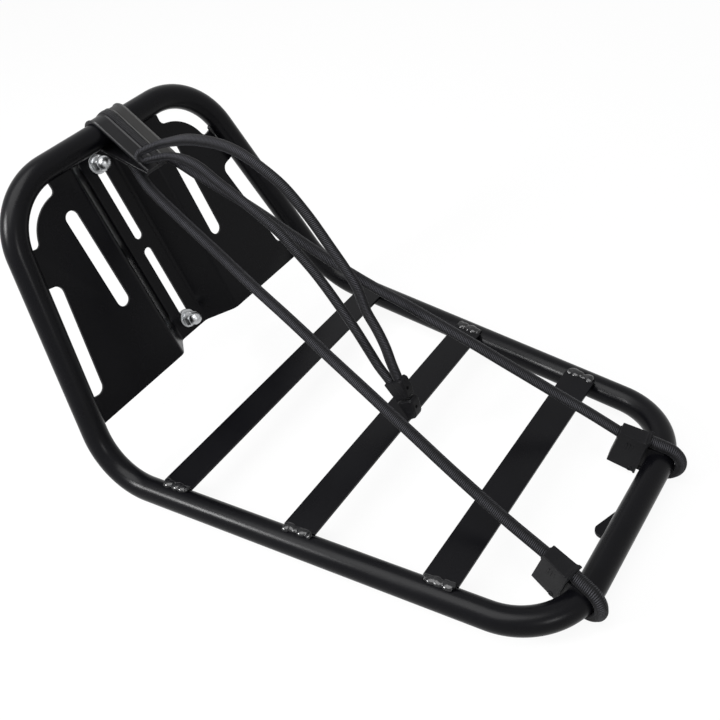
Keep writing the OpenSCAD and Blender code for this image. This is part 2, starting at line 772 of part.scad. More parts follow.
// The cord's loop round the end rail, with both ends on the clip's flange
module loop(x, pitch) {
    color("#202022") place(rail_point(x), clip_up_of(x, pitch), clip_way_of(x, pitch), -clip_side_of(x)) {
        rotate_extrude(angle = 180) translate([loop_r, 0]) circle(r = cord_r);
        for (side = [-1, 1]) translate([side * loop_r, -clip_stand, 0])
            rotate([-90, 0, 0]) cylinder(r = cord_r, h = clip_stand);
    }
}

module near_loop() {
    loop(near_clip_x, near_clip_pitch);
}

module far_loop() {
    loop(far_clip_x, far_clip_pitch);
}

// The centre clip's block, from its entry face down to the hook
module centre_clip() {
    half = centre_clip_h / 2;
    long = centre_clip_len;
    cut = centre_clip_cut;
    entry = [centre_clip_x + centre_clip_w / 2, entry_mid.x, entry_mid.y];
    color("#2b2b2e") place(entry, clip_way, clip_rise, [-1, 0, 0]) linear_extrude(centre_clip_w)
        polygon([[0, -half], [0, half], [long - cut, half], [long, half - cut],
            [long, cut - half], [long - cut, -half]]);
}

// The hook below the clip, whose lowest corner stands on the middle slat
module centre_hook() {
    hinge = entry_mid - centre_clip_len * [cos(clip_lean), sin(clip_lean)];
    side = (centre_clip_h / 2 - centre_clip_cut) * [sin(clip_lean), -cos(clip_lean)];
    color("#2b2b2e") translate([centre_clip_x - centre_clip_w / 2, 0, 0]) rotate([90, 0, 90])
        linear_extrude(centre_clip_w)
            polygon([hinge + side, hinge - side, hinge - side + hook_drop, hook_foot]);
}

frame_tube();
back_plate();
slat(0);  // slat_1
slat(1);  // slat_2
slat(2);  // slat_3
slat_welds();
plate_welds();
end_tab();
upper_bolt();
lower_bolt();
rear_washers();
front_washers();
spring_washers();
dome_nuts();
strap_band_left();
strap_band_woven();
strap_band_right();
near_cord();
far_cord();
near_clip();
far_clip();
near_loop();
far_loop();
centre_cord_upper();
centre_cord_lower();
centre_cord_turn();
centre_clip();
centre_hook();
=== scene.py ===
import math
import bmesh
import bpy
import numpy as np
from mathutils import Matrix, Vector


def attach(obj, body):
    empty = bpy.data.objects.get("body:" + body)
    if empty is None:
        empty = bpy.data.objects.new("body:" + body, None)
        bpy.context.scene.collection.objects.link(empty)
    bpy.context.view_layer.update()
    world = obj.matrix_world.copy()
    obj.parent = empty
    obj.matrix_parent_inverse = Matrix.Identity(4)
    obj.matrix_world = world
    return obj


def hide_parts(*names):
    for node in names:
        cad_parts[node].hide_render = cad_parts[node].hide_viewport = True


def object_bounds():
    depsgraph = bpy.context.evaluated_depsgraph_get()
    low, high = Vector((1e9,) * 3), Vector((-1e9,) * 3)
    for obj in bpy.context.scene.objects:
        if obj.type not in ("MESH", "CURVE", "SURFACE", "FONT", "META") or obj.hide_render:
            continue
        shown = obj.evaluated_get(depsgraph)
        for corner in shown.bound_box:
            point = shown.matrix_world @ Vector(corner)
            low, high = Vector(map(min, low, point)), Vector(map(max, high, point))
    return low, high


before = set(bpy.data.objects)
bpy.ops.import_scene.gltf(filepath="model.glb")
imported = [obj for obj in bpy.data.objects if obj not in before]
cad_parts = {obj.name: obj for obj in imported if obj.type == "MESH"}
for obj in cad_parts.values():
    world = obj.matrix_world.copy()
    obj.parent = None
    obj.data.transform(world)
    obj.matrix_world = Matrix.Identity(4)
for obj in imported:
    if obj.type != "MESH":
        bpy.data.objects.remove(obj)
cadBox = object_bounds()
print("frame loaded")

mm = 0.001

# the view of the photograph, in degrees and metres, in the rack's own frame
photoView = {
    "azimuth": -49.034, "elevation": 41.173, "roll": -9.735,
    "place": (-0.4149, -0.2145, 0.5393), "lens": 43.218, "sensor": 36, "clip": (0.01, 20),
}

# the bent tube, in millimetres and degrees, and the raised plane that carries the back plate
tubeShape = {
    "radius": 11, "tubeZ": -12.087, "endY": -92.5, "endW": 234, "foldW": 328, "deckLen": 404,
    "backAngle": 70.5, "backLen": 248, "topW": 226,
    "endBend": 60, "foldBend": 58, "topBend": 62, "sides": 72, "step": 3.0, "arcSteps": 30,
}


def unit(v):
    v = np.asarray(v, float)
    return v / np.maximum(np.linalg.norm(v, axis=-1, keepdims=True), 1e-12)


backAngle = math.radians(tubeShape["backAngle"])
backUp = np.array([0, math.cos(backAngle), math.sin(backAngle)])
backOut = np.array([0, -math.sin(backAngle), math.cos(backAngle)])
foldY = tubeShape["endY"] + tubeShape["deckLen"]
foldMid = np.array([0, foldY, tubeShape["tubeZ"]])
barMid = foldMid + tubeShape["backLen"] * backUp
splay = math.atan((tubeShape["foldW"] - tubeShape["endW"]) / 2 / tubeShape["deckLen"])
lean = math.atan((tubeShape["foldW"] - tubeShape["topW"]) / 2 / tubeShape["backLen"])
sideways = np.array([1.0, 0, 0])


# a point of the raised plane: across, up along it, and out of its front, in millimetres
def onBack(across, up, out=0.0):
    return foldMid + np.array([across, 0, 0]) + up * backUp + out * backOut


def addObject(name, data):
    thing = bpy.data.objects.new(name, data)
    bpy.context.scene.collection.objects.link(thing)
    return thing


def placeCamera():
    az, el, ro = (math.radians(photoView[k]) for k in ("azimuth", "elevation", "roll"))
    back = Vector((math.sin(az) * math.cos(el), -math.cos(az) * math.cos(el), math.sin(el)))
    right = Vector((math.cos(az), math.sin(az), 0))
    up = back.cross(right)
    turned = right * math.cos(ro) + up * math.sin(ro)
    upright = up * math.cos(ro) - right * math.sin(ro)
    camera = addObject("camera", bpy.data.cameras.new("camera"))
    camera.data.lens = photoView["lens"]
    camera.data.sensor_width = photoView["sensor"]
    camera.data.clip_start, camera.data.clip_end = photoView["clip"]
    place = Matrix.Identity(4)
    for row in range(3):
        for col, axis in enumerate((turned, upright, back)):
            place[row][col] = axis[row]
        place[row][3] = photoView["place"][row]
    camera.matrix_world = place
    bpy.context.scene.camera = camera


placeCamera()
print("camera placed")


# a mesh piece from points in millimetres and faces, with a UV pair for each point of a patterned one
def makePiece(name, points, faces, uv=None, sharpAngle=40):
    mesh = bpy.data.meshes.new(name)
    mesh.from_pydata((np.asarray(points) * mm).tolist(), [], [tuple(int(i) for i in f) for f in faces])
    mesh.update()
    if uv is not None:
        corners = np.empty(len(mesh.loops), np.int32)
        mesh.loops.foreach_get("vertex_index", corners)
        pairs = np.asarray(uv, np.float32)[corners]
        starts = np.empty(len(mesh.polygons), np.int32)
        mesh.polygons.foreach_get("loop_start", starts)
        widest = np.maximum.reduceat(pairs[:, 0], starts)
        # the last column's faces run on to u = 1 instead of back to 0
        pairs[:, 0] += np.repeat(widest, np.diff(np.append(starts, len(corners)))) - pairs[:, 0] > 0.5
        layer = mesh.uv_layers.new(name="UVMap")
        layer.data.foreach_set("uv", pairs.ravel())
    mesh.shade_smooth()
    mesh.set_sharp_from_angle(angle=math.radians(sharpAngle))
    return addObject(name, mesh)


# quads of a grid of rows and columns, either way closed on itself or open
def gridFaces(rows, cols, closeRows=False, closeCols=True):
    r = np.arange(rows if closeRows else rows - 1)
    c = np.arange(cols if closeCols else cols - 1)
    r, c = (a.ravel() for a in np.meshgrid(r, c, indexing="ij"))
    r2, c2 = (r + 1) % rows, (c + 1) % cols
    return np.stack([r * cols + c, r * cols + c2, r2 * cols + c2, r2 * cols + c], axis=1).tolist()


# several point and face lists as one
def gather(parts):
    points, faces, uvs, start = [], [], [], 0
    for part in parts:
        points.append(np.asarray(part[0], float))
        faces += [[i + start for i in f] for f in part[1]]
        uvs.append(np.asarray(part[2], float) if len(part) > 2 else np.zeros((len(part[0]), 2)))
        start += len(part[0])
    return np.vstack(points), faces, np.vstack(uvs)


# directions along a path: on, sideways and up, where up follows a wish or is carried on unturned
def pathFrames(path, upWish=None, closed=False):
    if closed:
        way = unit(np.roll(path, -1, axis=0) - np.roll(path, 1, axis=0))
    else:
        way = unit(np.gradient(path, axis=0))
    if upWish is not None:
        wish = np.broadcast_to(np.asarray(upWish, float), path.shape)
        up = unit(wish - (wish * way).sum(axis=1, keepdims=True) * way)
    else:
        up = np.empty_like(path)
        first = np.array([0, 0, 1.0]) if abs(way[0][2]) < 0.9 else np.array([0, 1.0, 0])
        up[0] = unit(first - first @ way[0] * way[0])
        for i in range(1, len(path)):
            carried = up[i - 1] - (up[i - 1] @ way[i]) * way[i]
            up[i] = unit(carried)
    return way, np.cross(way, up), up


def pathLength(path):
    return np.concatenate([[0], np.cumsum(np.linalg.norm(np.diff(path, axis=0), axis=1))])


# carries a section along a path: point = path + side * section x + up * section y, with both ends closed
def carryAlong(path, section, upWish=None, closed=False):
    path = np.asarray(path, float)
    side, up = pathFrames(path, upWish, closed)[1:]
    section = np.broadcast_to(section, (len(path),) + np.shape(section)[-2:])
    points = path[:, None] + side[:, None] * section[..., :1] + up[:, None] * section[..., 1:]
    rows, cols = section.shape[:2]
    faces = gridFaces(rows, cols, closed)
    if not closed:
        faces += [list(range(cols))[::-1], [(rows - 1) * cols + k for k in range(cols)]]
    along = pathLength(path)
    uv = np.stack(np.broadcast_arrays(np.arange(cols)[None] / cols, along[:, None] * mm), axis=-1)
    return points.reshape(-1, 3), faces, uv.reshape(-1, 2)


# a smooth line through route points: a cubic between each pair, with the slopes of the chords beside it
def smoothRoute(route, step):
    route = np.asarray(route, float)
    at = pathLength(route)
    gaps = np.diff(at)[:, None]
    chords = np.diff(route, axis=0) / gaps
    slopes = np.vstack([chords[:1], (chords[:-1] * gaps[1:] + chords[1:] * gaps[:-1])
                        / (gaps[1:] + gaps[:-1]), chords[-1:]])
    where = np.linspace(0, at[-1], int(at[-1] / step) + 2)
    k = np.clip(np.searchsorted(at, where, "right") - 1, 0, len(gaps) - 1)
    g = gaps[k]
    t = (where - at[k])[:, None] / g
    return ((2 * t**3 - 3 * t**2 + 1) * route[k] + (t**3 - 2 * t**2 + t) * g * slopes[k]
            + (3 * t**2 - 2 * t**3) * route[k + 1] + (t**3 - t**2) * g * slopes[k + 1])


def circle(radius, sides):
    a = np.arange(sides) * 2 * math.pi / sides
    return np.stack([np.cos(a), np.sin(a)], axis=1) * radius


def finishPiece(piece, material, slotName, *nodes):
    piece.data.materials.append(material)
    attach(piece, "root")
    if nodes:
        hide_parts(*nodes)
    return piece


# shader helpers
def addNode(tree, kind, **values):
    node = tree.nodes.new(kind)
    for key, value in values.items():
        if key in node.inputs:
            node.inputs[key].default_value = value
        else:
            setattr(node, key, value)
    return node


# a node group with a Vector input, number inputs with their defaults, and number outputs
def newGroup(name, inputs, outputs):
    tree = bpy.data.node_groups.new(name, "ShaderNodeTree")
    tree.interface.new_socket(name="Vector", in_out="INPUT", socket_type="NodeSocketVector")
    for label, value in inputs.items():
        socket = tree.interface.new_socket(name=label, in_out="INPUT", socket_type="NodeSocketFloat")
        socket.default_value = value
    for label in outputs:
        tree.interface.new_socket(name=label, in_out="OUTPUT", socket_type="NodeSocketFloat")
    return tree, tree.nodes.new("NodeGroupInput"), tree.nodes.new("NodeGroupOutput")


def useGroup(tree, group, vector, values):
    node = tree.nodes.new("ShaderNodeGroup")
    node.node_tree = group
    for label, value in values.items():
        node.inputs[label].default_value = value
    tree.links.new(vector, node.inputs["Vector"])
    return node


def maths(tree, operation, a, b=None, clamp=False):
    node = tree.nodes.new("ShaderNodeMath")
    node.operation = operation
    node.use_clamp = clamp
    for socket, value in zip(node.inputs, (a, b)):
        if value is None:
            continue
        if isinstance(value, (int, float)):
            socket.default_value = value
        else:
            tree.links.new(value, socket)
    return node.outputs[0]


# a value whose range is stretched from one pair of numbers to another
def mapRange(tree, value, ends, newEnds=(0.0, 1.0)):
    node = tree.nodes.new("ShaderNodeMapRange")
    for label, number in zip(("From Min", "From Max", "To Min", "To Max"), (*ends, *newEnds)):
        node.inputs[label].default_value = number
    tree.links.new(value, node.inputs["Value"])
    return node.outputs["Result"]


# the Mix node's colour mode has its two colours at inputs 6 and 7 and its result at output 2
def mixColours(tree, share, first, second):
    mix = addNode(tree, "ShaderNodeMix", data_type="RGBA")
    tree.links.new(share, mix.inputs[0])
    for socket, colour in zip(mix.inputs[6:8], (first, second)):
        if isinstance(colour, tuple):
            socket.default_value = (*colour, 1)
        else:
            tree.links.new(colour, socket)
    return mix.outputs[2]


def addBump(tree, shader, height, depth, strength):
    bump = addNode(tree, "ShaderNodeBump", Distance=depth, Strength=strength)
    tree.links.new(height, bump.inputs["Height"])
    tree.links.new(bump.outputs["Normal"], shader.inputs["Normal"])


def newMaterial(name, values):
    material = bpy.data.materials.new(name)
    material.use_nodes = True
    shader = material.node_tree.nodes["Principled BSDF"]
    for label, value in values.items():
        shader.inputs[label].default_value = value
    return material, material.node_tree, shader


# a sprayed or moulded skin: Height is a fine ripple, Patch a slow drift, Fleck the dust in some patches
skinShape = {
    "Ripple Scale": 700.0, "Patch Scale": 14.0, "Fleck Scale": 900.0,
    "ripple": {"Detail": 2.0, "Roughness": 0.5}, "patch": {"Detail": 3.0, "Roughness": 0.55},
    "fleckEdge": (0.16, 0.08), "dustyAbove": 0.56, "patchEnds": (0.3, 0.7),
}


def makeSkinGroup():
    scales = ("Ripple Scale", "Patch Scale", "Fleck Scale")
    tree, source, sink = newGroup("skinGrain", {label: skinShape[label] for label in scales},
                                  ["Height", "Patch", "Fleck"])
    link = tree.links.new
    ripple = addNode(tree, "ShaderNodeTexNoise", **skinShape["ripple"])
    patch = addNode(tree, "ShaderNodeTexNoise", **skinShape["patch"])
    fleck = addNode(tree, "ShaderNodeTexVoronoi")
    for node, label in zip((ripple, patch, fleck), scales):
        link(source.outputs["Vector"], node.inputs["Vector"])
        link(source.outputs[label], node.inputs["Scale"])
    spot = mapRange(tree, fleck.outputs["Distance"], skinShape["fleckEdge"])
    dusty = maths(tree, "GREATER_THAN", patch.outputs["Fac"], skinShape["dustyAbove"])
    link(ripple.outputs["Fac"], sink.inputs["Height"])
    link(patch.outputs["Fac"], sink.inputs["Patch"])
    link(maths(tree, "MULTIPLY", spot, dusty), sink.inputs["Fleck"])
    return tree


# a braided or woven skin on the UV map: rows of yarn that slant one way and back, with a seam between
# crownHighlightLeast is the least strength of the painted highlight on the yarn crowns in a patch
yarnShape = {"round": 0.6, "seam": 0.35, "crownHighlightLeast": 0.4, "fuzzRough": 0.2, "fuzzHigh": 0.3}


def makeBraidGroup():
    tree, source, sink = newGroup("braidRows", {"Row Pitch": 0.0014, "Columns": 8.0, "Slant": 3.0},
                                  ["Height"])
    parts = tree.nodes.new("ShaderNodeSeparateXYZ")
    tree.links.new(source.outputs["Vector"], parts.inputs[0])
    column = maths(tree, "MULTIPLY", parts.outputs[0], source.outputs["Columns"])
    row = maths(tree, "DIVIDE", parts.outputs[1], source.outputs["Row Pitch"])
    slant = maths(tree, "MULTIPLY", maths(tree, "PINGPONG", column, 1.0), source.outputs["Slant"])
    yarn = maths(tree, "PINGPONG", maths(tree, "ADD", row, slant), 0.5)
    yarn = maths(tree, "POWER", maths(tree, "MULTIPLY", yarn, 2.0), yarnShape["round"])
    seam = maths(tree, "MULTIPLY", maths(tree, "PINGPONG", column, 0.5), 2.0)
    seam = maths(tree, "POWER", seam, yarnShape["seam"])
    tree.links.new(maths(tree, "MULTIPLY", yarn, seam), sink.inputs["Height"])
    return tree


skinGrain = makeSkinGroup()
braidRows = makeBraidGroup()


# a material with a skin on Object coordinates and its colours in linear light
def skinMaterial(name, look):
    material, tree, shader = newMaterial(name, look["shader"])
    where = tree.nodes.new("ShaderNodeTexCoord")
    grain = useGroup(tree, skinGrain, where.outputs["Object"], {
        "Ripple Scale": look["ripple"], "Patch Scale": look["patch"], "Fleck Scale": look["fleck"]})
    tint = mixColours(tree, grain.outputs["Patch"], look["dark"], look["pale"])
    dust = maths(tree, "MULTIPLY", grain.outputs["Fleck"], look["dustAmount"])
    tree.links.new(mixColours(tree, dust, tint, look["dust"]), shader.inputs["Base Color"])
    rough = mapRange(tree, grain.outputs["Patch"], skinShape["patchEnds"], look["rough"])
    tree.links.new(rough, shader.inputs["Roughness"])
    addBump(tree, shader, grain.outputs["Height"], look["depth"], look["strength"])
    return material


# a yarn material on the UV map, with a painted highlight: the colour paler on the crown of each yarn, more
# so in some patches, and darker as painted shade in the grooves between yarns
def yarnMaterial(name, look):
    material, tree, shader = newMaterial(name, look["shader"])
    where = tree.nodes.new("ShaderNodeTexCoord")
    rows = useGroup(tree, braidRows, where.outputs["UV"], {
        "Row Pitch": look["pitch"], "Columns": look["columns"], "Slant": look["slant"]})
    grain = useGroup(tree, skinGrain, where.outputs["Object"], {"Ripple Scale": look["fibre"]})
    # painted highlight: the pale colour on each yarn's crown, its strength varied in patches; the dark
    # colour in the grooves is painted shade
    crown = maths(tree, "POWER", rows.outputs["Height"], look["crown"])
    crownHighlightPatch = maths(tree, "ADD", grain.outputs["Patch"], yarnShape["crownHighlightLeast"])
    pale = maths(tree, "MULTIPLY", crown, crownHighlightPatch, clamp=True)
    tree.links.new(mixColours(tree, pale, look["dark"], look["pale"]), shader.inputs["Base Color"])
    fuzz = maths(tree, "MULTIPLY", grain.outputs["Height"], yarnShape["fuzzRough"])
    tree.links.new(maths(tree, "ADD", fuzz, look["rough"]), shader.inputs["Roughness"])
    fuzz = maths(tree, "MULTIPLY", grain.outputs["Height"], yarnShape["fuzzHigh"])
    addBump(tree, shader, maths(tree, "ADD", rows.outputs["Height"], fuzz), look["depth"], 1.0)
    return material


paint = skinMaterial("powderCoat", {
    "dark": (0.0012, 0.0012, 0.0018), "pale": (0.0024, 0.0024, 0.0032), "dust": (0.03, 0.03, 0.03),
    "dustAmount": 0.15, "rough": (0.25, 0.32), "depth": 0.00012, "ripple": 650, "patch": 16, "fleck": 420,
    "strength": 0.3, "shader": {"Specular IOR Level": 0.1},
})
weldPaint = skinMaterial("weldCoat", {
    "dark": (0.002, 0.002, 0.0026), "pale": (0.004, 0.004, 0.005), "dust": (0.05, 0.05, 0.05),
    "dustAmount": 0.1, "rough": (0.14, 0.2), "depth": 0.0002, "ripple": 300, "patch": 60, "fleck": 500,
    "strength": 0.2, "shader": {"Specular IOR Level": 0.38},
})
zinc = skinMaterial("brightZinc", {
    "dark": (0.34, 0.35, 0.36), "pale": (0.55, 0.56, 0.57), "dust": (0.30, 0.30, 0.31),
    "dustAmount": 0.3, "rough": (0.3, 0.42), "depth": 0.00008, "ripple": 900, "patch": 220, "fleck": 900,
    "strength": 0.4, "shader": {"Metallic": 1.0},
})
rubber = skinMaterial("bandRubber", {
    "dark": (0.0026, 0.0026, 0.0032), "pale": (0.0052, 0.0052, 0.006), "dust": (0.04, 0.04, 0.04),
    "dustAmount": 0.3, "rough": (0.34, 0.46), "depth": 0.0001, "ripple": 1100, "patch": 40, "fleck": 800,
    "strength": 0.4, "shader": {"Specular IOR Level": 0.2},
})
dullRubber = skinMaterial("dullRubber", {
    "dark": (0.0085, 0.0083, 0.0081), "pale": (0.014, 0.0137, 0.0134), "dust": (0.05, 0.05, 0.05),
    "dustAmount": 0.3, "rough": (0.5, 0.62), "depth": 0.0001, "ripple": 1100, "patch": 40, "fleck": 800,
    "strength": 0.5, "shader": {"Specular IOR Level": 0.3},
})
plastic = skinMaterial("clipPlastic", {
    "dark": (0.0028, 0.0028, 0.0034), "pale": (0.0055, 0.0055, 0.0063), "dust": (0.04, 0.04, 0.04),
    "dustAmount": 0.3, "rough": (0.4, 0.52), "depth": 0.00015, "ripple": 1500, "patch": 60, "fleck": 900,
    "strength": 0.6, "shader": {"Specular IOR Level": 0.09},
})
# painted shade for the centre clip's pin holes: a near-black colour for the discs that stand in for them
holeShadeBlack = skinMaterial("holeShadeBlack", {
    "dark": (0.0006, 0.0006, 0.0008), "pale": (0.001, 0.001, 0.0012), "dust": (0.005, 0.005, 0.005),
    "dustAmount": 0.1, "rough": (0.6, 0.7), "depth": 0.00005, "ripple": 1500, "patch": 60, "fleck": 900,
    "strength": 1.0, "shader": {"Specular IOR Level": 0.02},
})
# the pale colours of the cord and the tape are their painted crown highlights
braid = yarnMaterial("cordBraid", {
    "dark": (0.0015, 0.0015, 0.002), "pale": (0.058, 0.058, 0.067), "pitch": 0.00145, "columns": 4.0,
    "slant": 0.7, "fibre": 2500, "rough": 0.5, "depth": 0.0006, "crown": 3.0,
    "shader": {"Specular IOR Level": 0.12, "Sheen Weight": 0.02, "Sheen Roughness": 0.4},
})
tape = yarnMaterial("wovenTape", {
    "dark": (0.002, 0.002, 0.0026), "pale": (0.036, 0.036, 0.041), "pitch": 0.0014, "columns": 30.0,
    "slant": 0.5, "fibre": 2500, "rough": 0.55, "depth": 0.0004, "crown": 2.5,
    "shader": {"Specular IOR Level": 0.15, "Sheen Weight": 0.03, "Sheen Roughness": 0.4},
})
print("materials made")

# the strap on the top bar, in millimetres and degrees
strapShape = {
    "thick": 2.5, "reach": 58, "drop": 24.5, "from": -5, "leftW": 15, "wovenW": 7, "rightW": 13,
    "ribHigh": 1.0, "ribMid": 1.15, "ribSpread": 0.62, "edge": 0.4, "nearCordAt": (1, 33),
}
drop = math.radians(strapShape["drop"])
strapAlong = np.array([0, -math.cos(drop), -math.sin(drop)])
strapUp = np.array([0, -math.sin(drop), math.cos(drop)])
wovenFrom = strapShape["from"] + strapShape["leftW"]
rightFrom = wovenFrom + strapShape["wovenW"]
strapEnd = barMid + strapShape["reach"] * strapAlong

# the elastic cords, in millimetres and degrees; the routes are the same as the solids' own
cordShape = {
    "wide": 10.0, "high": 7.8, "groove": 0.09, "grooveAt": 50, "grooveWide": 11, "sides": 48,
    "step": 0.8, "turnR": 4.2, "turnSwing": 36, "turnTilt": 14, "turnFromStrap": (-10.3, 4.1, 12.5),
    "turnShare": 0.62, "growLen": 60,
}
# the moulded clips behind the end rail and their loops, in millimetres, with flareTurn in radians;
# near and far are how far across each one sits and how steeply it points down, in degrees
clipShape = {
    "near": (-77, 17), "far": (71.5, 14), "stand": 13.5, "topLen": 24.5,
    "bottomLen": 24.5, "rise": 16.8, "drop": 20, "wide": 12.5, "wideAtFlange": 15, "entry": 11,
    "entryLow": 9.2, "bevel": 0.7, "flare": 3.0, "flareTurn": 1.3, "flareOut": 0.7, "step": 1.6,
    "flangeW": 16.5, "flangeT": 2.5, "flangeWall": 1.9, "flangeSoft": 0.5, "flangeBow": 0.5,
    "tipNarrow": 0.1, "saddleW": 11, "saddleSoft": 0.4, "fit": 0.15, "loopHalf": 4.6, "pressed": 0.45,
}
loopR = tubeShape["radius"] + clipShape["fit"] + clipShape["loopHalf"]
endHalf = tubeShape["endW"] / 2 - tubeShape["endBend"] * math.tan((math.pi / 2 - splay) / 2)
# the centre clip's outlines count along the clip and out of it, from where the two strands go in
centreClipShape = {
    "x": wovenFrom, "wide": 10, "lean": 53.1, "entry": (120.6, 38.2), "entryHalf": 5.5, "cheek": 0.9,
    "block": [(0, -10), (0, 10.4), (2.5, 12.4), (11, 10.3), (19, 6.2), (19.2, -10)],
    "blockCheek": [(0.6, 1.6), (0.6, 10.2), (2.9, 12), (11, 9.9), (18.4, 6), (18.6, 1.6)],
    "hook": [(20.2, -10.5), (20.4, 5.6), (22.4, 7.4), (30, 4.4), (36.5, 0.6), (39.2, -2.6), (39.3, -9),
             (37.6, -11.5)],
    "hookCheek": [(20.9, -5), (21, 5.2), (22.8, 6.9), (30, 4), (36, 0.4), (38.4, -2.9), (38, -5)],
    # the pin holes' painted shade: where each near-black disc sits, its radius, how far it reaches in and
    # out, and which way it faces
    "holeShades": [(8.6, 10.6, 10.4), (8.7, 30, 4.45)], "holeShadeR": 1.35, "holeShadeEnds": (-0.8, 0.08),
    "holeShadeFaces": (0.36, 0.93), "bevel": 1.1, "cheekBevel": 0.9,
}


# where a clip sits on the end rail or its corner bend: the rail's point, and the ways out, sideways and up
def clipPlace(x, pitch):
    bend = tubeShape["endBend"]
    swing = math.asin(min(1, (abs(x) - endHalf) / bend)) if abs(x) > endHalf else 0
    rail = np.array([x, tubeShape["endY"] + bend * (1 - math.cos(swing)), tubeShape["tubeZ"]])
    out = np.array([math.copysign(math.sin(swing), x), -math.cos(swing), 0])
    pitch = math.radians(pitch)
    way = math.cos(pitch) * out - np.array([0, 0, math.sin(pitch)])
    side = np.array([-out[1], out[0], 0])
    return rail, way, side, np.cross(way, side)


def clipEntry(x, pitch):
    rail, way, _, up = clipPlace(x, pitch)
    return rail - (clipShape["stand"] + clipShape["topLen"]) * way + clipShape["entry"] * up


# a cord's section: an oval with shallow grooves that leave a band along its upper and under sides
def cordSection():
    c = cordShape
    a = np.arange(c["sides"]) * 2 * math.pi / c["sides"]
    r = np.ones_like(a)
    for g in (c["grooveAt"], 180 - c["grooveAt"], 180 + c["grooveAt"], 360 - c["grooveAt"]):
        off = np.degrees(np.angle(np.exp(1j * (a - math.radians(g)))))
        r -= c["groove"] * np.exp(-((off / c["grooveWide"]) ** 2))
    return np.stack([np.cos(a) * c["wide"] / 2, np.sin(a) * c["high"] / 2], axis=1) * r[:, None]


# a cord along its route; a start below 1 is the share of its full size that it grows from
def makeCord(name, route, upWish, node, start=1.0):
    path = smoothRoute(route, cordShape["step"])
    grown = np.clip(pathLength(path) / cordShape["growLen"], 0, 1)
    size = start + (1 - start) * grown * grown * (3 - 2 * grown)
    section = cordSection()[None] * size[:, None, None]
    piece = makePiece(name, *carryAlong(path, section, upWish), sharpAngle=80)
    finishPiece(piece, braid, "cord_braid", node)


# the near cord comes out of the strap's underside, the far cord out of the strap's end
bandLean = math.acos(tubeShape["radius"] / strapShape["reach"])
nearX, nearOut = strapShape["nearCordAt"]
nearUnder = (tubeShape["radius"] + strapShape["thick"]) / math.sin(bandLean) - nearOut / math.tan(bandLean)
nearStart = np.array([nearX, 0, 0]) + barMid + nearOut * strapAlong - nearUnder * strapUp
farStart = np.array([rightFrom + strapShape["rightW"] / 2, 0, 0]) + strapEnd
nearRoute = [
    nearStart,
    (0.8, 362, 195), (-0.5, 357, 189), (-3, 349, 183), (-5.5, 335, 174.5),
    (-7.6, 315, 163), (-9.7, 292, 150), (-12.4, 268, 137.5), (-15.8, 246, 127),
    (-19.3, 224, 117.5), (-23.8, 198, 107.5), (-28.6, 171, 96.5), (-32.6, 151, 88.5),
    (-36.8, 130, 81), (-41.1, 108, 73), (-45.6, 84, 63.5), (-50.3, 58, 53),
    (-55.2, 31, 42), (-60, 2, 30.5), (-64.4, -24, 21),
    clipEntry(*clipShape["near"]),
]
farRoute = [
    farStart,
    (25, 333, 193), (27.5, 316, 183.5), (30.5, 297, 173.5), (33, 279, 164.5),
    (35.2, 260, 154.5), (37.8, 233, 139.5), (39.8, 214, 129), (41.4, 196.5, 120),
    (44.1, 169, 107), (46, 150, 99), (48, 132, 92), (50.5, 110, 82.5),
    (53.5, 82, 70), (55, 62, 62), (56.5, 42, 53.5), (58.5, 20, 44),
    (61.3, -8, 31.5), (63.5, -30, 22),
    clipEntry(*clipShape["far"]),
]
swing, tilt = math.radians(cordShape["turnSwing"]), math.radians(cordShape["turnTilt"])
turnWay = np.array([math.sin(swing), -math.cos(swing), 0])
turnOpens = turnWay * math.cos(tilt) + np.array([0, 0, math.sin(tilt)])
turnUp = np.array([0, 0, math.cos(tilt)]) - turnWay * math.sin(tilt)
turnMid = np.array([wovenFrom, 0, 0]) + strapEnd + np.array(cordShape["turnFromStrap"])
clipLean = math.radians(centreClipShape["lean"])
clipDown = np.array([0, -math.cos(clipLean), -math.sin(clipLean)])
clipRise = np.array([0, -math.sin(clipLean), math.cos(clipLean)])


def centreEntry(rise):
    c = centreClipShape
    return np.array([c["x"], *c["entry"]]) + rise * clipRise


upperRoute = [
    turnMid + cordShape["turnR"] * turnUp,
    (4.8, 338.5, 217.3), (9.3, 331, 219.6), (12, 318, 223), (12.6, 300, 227.8),
    (12.3, 279, 230.5), (12, 262, 231), (11.6, 246, 229), (11.3, 232.5, 224.5),
    (11, 218, 217.5), (10.8, 205, 209.5), (10.6, 185, 189), (10.4, 165, 161),
    (10.6, 154, 144), (10.9, 146.5, 130.5), (11.4, 140, 105), (11.2, 131, 87),
    (10.5, 125, 73), (10, 121, 58),
    centreEntry(centreClipShape["entryHalf"]),
]
lowerRoute = [
    turnMid - cordShape["turnR"] * turnUp,
    (5, 336.5, 207.6), (9.3, 328.5, 208.6), (12, 315, 208.6), (12.6, 299, 205.8),
    (12.3, 274, 192.5), (12, 258, 184.5), (11.6, 245, 177.5), (11.2, 231, 169.5),
    (10.9, 217.5, 160.5), (10.7, 204, 147.5), (10.7, 191, 134), (11, 167, 100.5),
    (11.2, 154, 79.5), (10.8, 143.5, 61.5), (10.3, 135, 47.5),
    centreEntry(-centreClipShape["entryHalf"]),
]


# the tight turn: half a ring from the lower strand's start round to the upper strand's
def makeTurn():
    a = np.linspace(-math.pi / 2, math.pi / 2, 40)
    path = turnMid + cordShape["turnR"] * (np.sin(a)[:, None] * turnUp - np.cos(a)[:, None] * turnOpens)
    section = cordSection() * cordShape["turnShare"]
    rounded = carryAlong(path, section, np.cross(turnUp, -turnOpens))
    piece = makePiece("centreCordTurn", *rounded, sharpAngle=80)
    return finishPiece(piece, braid, "cord_braid", "centre_cord_turn")


